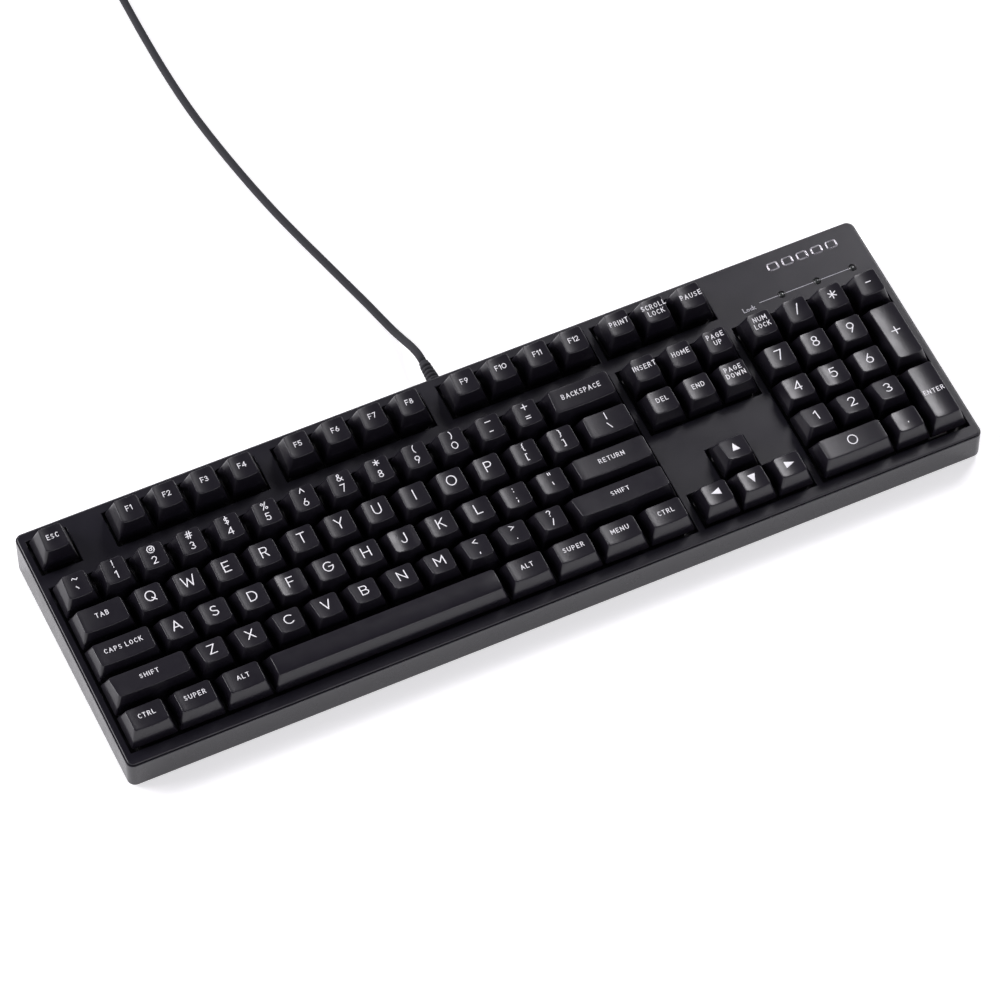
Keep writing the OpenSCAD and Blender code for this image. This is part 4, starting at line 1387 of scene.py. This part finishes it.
@dataclass
class Cord:
    """The cable from the case to its plug, with a double-layer coil and a strap.

    The cable runs back along the desk, winds in for in_turns turns, rises on to itself and winds
    out again for out_turns turns, and then runs down to the plug.
    """

    diameter: float = 4.0
    exit_at: Triple = (0.0, 88.5, 9.5)
    coil_at: Pair = (-8.0, 402.0)
    outer: float = 31.0
    inner: float = 14.6
    rise_inner: float = 13.6
    in_turns: float = 4.0
    rise_turns: float = 0.3
    out_turns: float = 3.7
    low: float = 2.95
    high: float = 7.05
    plug_at: Triple = (-6.0, 444.0, 4.0)
    plug_length: float = 36.0
    plug_neck: tuple[tuple[float, float, float, float], ...] = (
        (0, 2.3, 2.3, 2.25), (0.6, 2.6, 2.6, 2.5), (8.8, 3.3, 3.1, 2.9), (9.6, 4.6, 3.3, 2.6),
        (10.6, 6.6, 3.7, 2.4), (11.6, 7.5, 3.9, 2.2), (12.6, 7.8, 4.0, 2.0),
    )
    plug_grooves: int = 5
    groove_from: float = 16.0
    groove_pitch: float = 2.2
    shell_size: Triple = (6.0, 2.25, 18.7)
    shell_wall: float = 0.35
    shell_floor: float = 1.5
    pin_step: float = 1.17
    relief_length: float = 20.0
    relief_ribs: int = 7
    rib_pitch: float = 2.3
    real_length: float = 1.5
    lead: tuple[Triple, ...] = (
        (0, 88.5, 9.5), (0, 94, 9.1), (-0.5, 101, 7.2), (-1.5, 109, 4.2), (-3, 117, 2.4),
        (-5, 126, 2.05), (-7.5, 137, 2), (-11, 151, 2), (-15.5, 169, 2), (-20.5, 189, 2),
        (-25.5, 211, 2), (-30, 235, 2), (-34, 261, 2), (-37, 287, 2), (-38.5, 313, 2),
        (-39, 339, 2), (-39, 365, 2.3), (-39, 391, 2.8), (-39, 402, 2.95),
    )
    tail: tuple[Triple, ...] = (
        (-39, 402, 7.05), (-39, 410, 6.6), (-38, 419, 4.9), (-35, 428, 3.0), (-29, 436, 2.1),
        (-21, 441.5, 2.4), (-13, 443.5, 3.4), (-6, 444, 4),
    )

    def path(self) -> np.ndarray:
        """The cable's centre line: lead, coil and tail."""
        lead = smooth_route(self.lead, 3.0)
        tail = smooth_route(self.tail, 3.0)
        return np.vstack([lead[:-1], self.coil()[:-1], tail])

    def coil(self) -> np.ndarray:
        """The winding: radius and height are straight lines in the turns, joined end to end."""
        stops = np.cumsum([0, self.in_turns, self.rise_turns, self.out_turns])
        n = np.linspace(0, stops[-1], round(stops[-1] * 44) + 1)
        r = np.interp(n, stops, [self.outer, self.inner, self.rise_inner, self.outer])
        z = np.interp(n, stops, [self.low, self.low, self.high, self.high])
        a = np.pi - 2 * np.pi * n
        return np.column_stack([self.coil_at[0] + r * np.cos(a), self.coil_at[1] + r * np.sin(a), z])

    def build(self) -> None:
        path = self.path()
        cable = make_piece("cable_cord", tube(path, self.diameter / 2, 12).moved(on_desk), "case", JACKET,
                           replaces=["cable", "cable_coil"])
        relief = make_piece("cable_relief", self.relief().moved(on_desk), "case", JACKET, replaces=["strain_relief"])
        strap = make_piece("cable_strap", self.strap().moved(on_desk), "case", TIE, replaces=["cable_tie"])
        grip, shell, contacts, tongue = self.plug()
        body = make_piece("plug_grip", grip.moved(on_desk), "case", JACKET, replaces=["usb_plug_body"])
        shell = make_piece("plug_shell", shell.moved(on_desk), "case", NICKEL, Edge.CRISP,
                           replaces=["usb_plug_shell"])
        inside = [
            make_piece("plug_contacts", contacts.moved(on_desk), "case", GOLD, Edge.CRISP),
            make_piece("plug_tongue", tongue.moved(on_desk), "case", SOCKET, Edge.CRISP),
        ]
        tuple(v * MM for v in self.exit_at)

    def relief(self) -> Surface:
        """The strain relief: a turned plug in the case's wall and a ribbed, tapering sleeve."""
        profile = [(4.3, -3.8), (4.6, -3.6), (4.6, -2.75), (3.6, -2.6), (3.6, 0.0), (4.1, 0.02), (4.2, 0.3),
                   (4.2, 1.3), (4.0, 1.6)]
        for i in range(self.relief_ribs):
            z = 2.0 + self.rib_pitch * i
            r = 3.55 - 0.13 * i
            profile += [(r - 0.55, z), (r - 0.55, z + 0.55), (r, z + 0.75), (r, z + 1.95), (r - 0.2, z + 2.15)]
        profile += [(2.45, 18.4), (2.4, 19.7), (2.2, self.relief_length)]
        x, y, z = self.exit_at
        return lathe(profile, 36).moved(
            lambda p: np.column_stack([p[:, 0] + x, p[:, 2] + y - self.relief_length, z - p[:, 1]])
        )

    def strap(self) -> Surface:
        """The strap: a flat band round the coil's section, with its free end lapped on top."""
        middle = (self.inner + self.outer) / 2 - 0.4
        a, b = (self.outer - self.inner) / 2 + 3.7, 4.45
        loop = ring_box(a, b, 3.6, 8, 4, 6)
        outer, inner = loop, loop * [1 - 0.85 / a, 1 - 0.85 / b]
        bands = [(outer * 0.985, -5.0), (outer, -4.7), (outer, 4.7), (outer * 0.985, 5.0), (inner, 4.9), (inner, -4.9)]
        rows = [np.column_stack([o[:, 0], np.full(len(o), y), o[:, 1]]) for o, y in bands]
        band = grid(np.array(rows)[::-1], loop_rows=True)
        lap = pillow(a * 0.62, 4.9, 1.5, b - 0.05, b + 0.75, 0.3)
        at = [self.coil_at[0] + middle, self.coil_at[1], b + 0.02]
        return joined([band, lap]).moved(lambda p: p + at)

    def plug(self) -> tuple[Surface, Surface, Surface, Surface]:
        """The plug's grip, its metal shell, its contacts and the tongue that carries them."""
        px, py, pz = self.plug_at

        def lay(p: np.ndarray) -> np.ndarray:
            return np.column_stack([p[:, 2] + px, p[:, 0] + py, p[:, 1] + pz])

        def sleeve(sections: Sequence[tuple[float, float, float, float]], *steps: int) -> Surface:
            rings = [(ring_box(a, b, r, *steps), z) for z, a, b, r in sections]
            return grid(np.array([np.column_stack([o, np.full(len(o), z)]) for o, z in rings])).moved(lay)

        full, groove = (7.8, 4.0, 2.0), (7.35, 3.8, 1.9)
        outline = list(self.plug_neck)
        for i in range(self.plug_grooves):
            z = self.groove_from + self.groove_pitch * i
            outline += [(z, *full), (z + 0.3, *groove), (z + 1.2, *groove), (z + 1.5, *full)]
        outline += [(35.2, *full), (35.8, 7.6, 3.8, 1.8), (self.plug_length, 7.1, 3.3, 1.5)]
        grip = sleeve(outline, 6, 4, 5)
        a, b, length = self.shell_size
        wall, deep = self.shell_wall, self.shell_floor
        start = self.plug_length - 0.05
        inner = (a - wall, b - wall, 0.3)
        walls = [(0.0, a, b, 0.5), (length, a, b, 0.5), (length, *inner), (deep, *inner)]
        shell = sleeve([(start + z, *rest) for z, *rest in walls], 4, 3, 3)
        tongue = box(11.0, 1.7, start + deep - 0.1, start + 17.6).moved(lambda p: p + [0, -0.95, 0]).moved(lay)
        pins = []
        for i in (-3, -1, 1, 3):
            pin = box(1.1 if abs(i) == 3 else 1.0, 0.1, start + 8.0, start + 16.8)
            pins.append(pin.moved(lambda p: p + [i * self.pin_step, -0.07, 0]))
        return grip, shell, joined(pins).moved(lay), tongue


# ---------------------------------------------------------------- the studio


PANELS = (
    ("panel_left", (-1.9, 1.1, 1.25), (0, 0, 0), 1.5, 2.0, 52),
    ("panel_rim", (-2.3, 1.5, 0.6), (-0.2, 0, 0), 0.5, 1.1, 16),
    ("panel_front", (0.5, -2.2, 1.4), (0, 0, 0), 1.8, 0.5, 16),
    ("panel_right", (1.9, 1.35, 2.1), (0.1, 0, 0), 1.0, 0.7, 42),
)


@dataclass
class Studio:
    """Camera, lights and the pale floor. Lengths are in metres."""

    camera_at: Triple = (-0.6125, -1.2942, 2.0318)
    right: Triple = (0.90423, -0.42704, 0.0)
    forward: Triple = (0.24674, 0.52234, -0.81626)
    focal: float = 5.27285
    sensor: float = 36.0
    floor_half: float = 6.0

    def camera(self) -> None:
        """Places the camera and makes it the scene's."""
        data = bpy.data.cameras.new("camera")
        data.sensor_fit = "HORIZONTAL"
        data.sensor_width = self.sensor
        data.lens = self.focal * self.sensor
        data.clip_start, data.clip_end = 0.05, 50.0
        view = bpy.data.objects.new("camera", data)
        bpy.context.scene.collection.objects.link(view)
        right, forward = Vector(self.right), Vector(self.forward)
        up = right.cross(forward)
        view.matrix_world = matrix_of(right, up, -forward, Vector(self.camera_at))
        bpy.context.scene.camera = view

    def lights(self) -> None:
        """Hangs soft panels round the keyboard and sets a pale surround."""
        for name, at, aim, wide, high, watts in PANELS:
            self.panel(name, at, aim, wide, high, watts)
        self.surround()
        bpy.context.scene.view_settings.view_transform = "Standard"

    def surround(self) -> None:
        """A pale surround that is bright near the horizon and dim overhead."""
        world = bpy.data.worlds.new("surround")
        world.use_nodes = True
        tree = world.node_tree
        up = tree.nodes.new("ShaderNodeSeparateXYZ")
        link(tree, tree.nodes.new("ShaderNodeTexCoord").outputs["Generated"], up.inputs["Vector"])
        sky = tree.nodes.new("ShaderNodeValToRGB")
        stops = sky.color_ramp.elements
        for place, level in ((0.3, 0.58), (0.6, 0.11)):
            stops.new(place).color = (level, level * 0.96, level * 1.1, 1.0)
        stops[0].color = (0.88, 0.88, 0.90, 1.0)
        stops[-1].color = (0.105, 0.10, 0.125, 1.0)
        link(tree, up.outputs["Z"], sky.inputs["Fac"])
        link(tree, sky.outputs["Color"], tree.nodes["Background"].inputs["Color"])
        bpy.context.scene.world = world

    def panel(
        self, name: str, at: Sequence[float], aim: Sequence[float], wide: float, high: float, watts: float
    ) -> None:
        """One rectangular soft light, aimed at a point."""
        data = bpy.data.lights.new(name, "AREA")
        data.shape = "RECTANGLE"
        data.size, data.size_y = wide, high
        data.energy = watts
        data.color = (0.985, 0.965, 1.0)
        lamp = bpy.data.objects.new(name, data)
        lamp.location = at
        lamp.rotation_euler = (Vector(aim) - Vector(at)).to_track_quat("-Z", "Y").to_euler()
        bpy.context.scene.collection.objects.link(lamp)

    def floor(self) -> None:
        """Lays the plain pale floor."""
        mesh = bpy.data.meshes.new("floor")
        s = self.floor_half
        mesh.from_pydata([(-s, -s, 0), (s, -s, 0), (s, s, 0), (-s, s, 0)], [], [(0, 1, 2, 3)])
        mesh.update()
        plane = bpy.data.objects.new("floor", mesh)
        bpy.context.scene.collection.objects.link(plane)
        made = bpy.data.materials.new("floor_paper")
        made.use_nodes = True
        shader = made.node_tree.nodes["Principled BSDF"]
        give(shader, {"Base Color": (0.88, 0.88, 0.88, 1.0), "Roughness": 0.9, "Specular IOR Level": 0.1,
                      "Emission Color": (1.0, 1.0, 1.0, 1.0), "Emission Strength": 0.50})
        mesh.materials.append(made)


def matrix_of(x: Vector, y: Vector, z: Vector, at: Vector) -> Matrix:
    """A placing whose columns are three directions and a point."""
    turned = Matrix((x, y, z)).transposed().to_4x4()
    turned.translation = at
    return turned


def clear_startup() -> None:
    """Removes the start-up camera, light and cube if they are there."""
    for name in ("Camera", "Light", "Cube"):
        found = bpy.data.objects.get(name)
        if found:
            bpy.data.objects.remove(found)


def main() -> None:
    """Builds the scene: camera and cord first, then the keyboard, then the studio."""
    logging.basicConfig(level=logging.INFO, format="%(name)s: %(message)s")
    clear_startup()
    studio = Studio()
    studio.camera()
    Cord().build()
    banks = make_banks()
    for assembly in (Case(), SwitchBed(banks), Keys(banks), DeckMarks()):
        assembly.build()
    studio.floor()
    studio.lights()


if __name__ == "__main__":
    main()
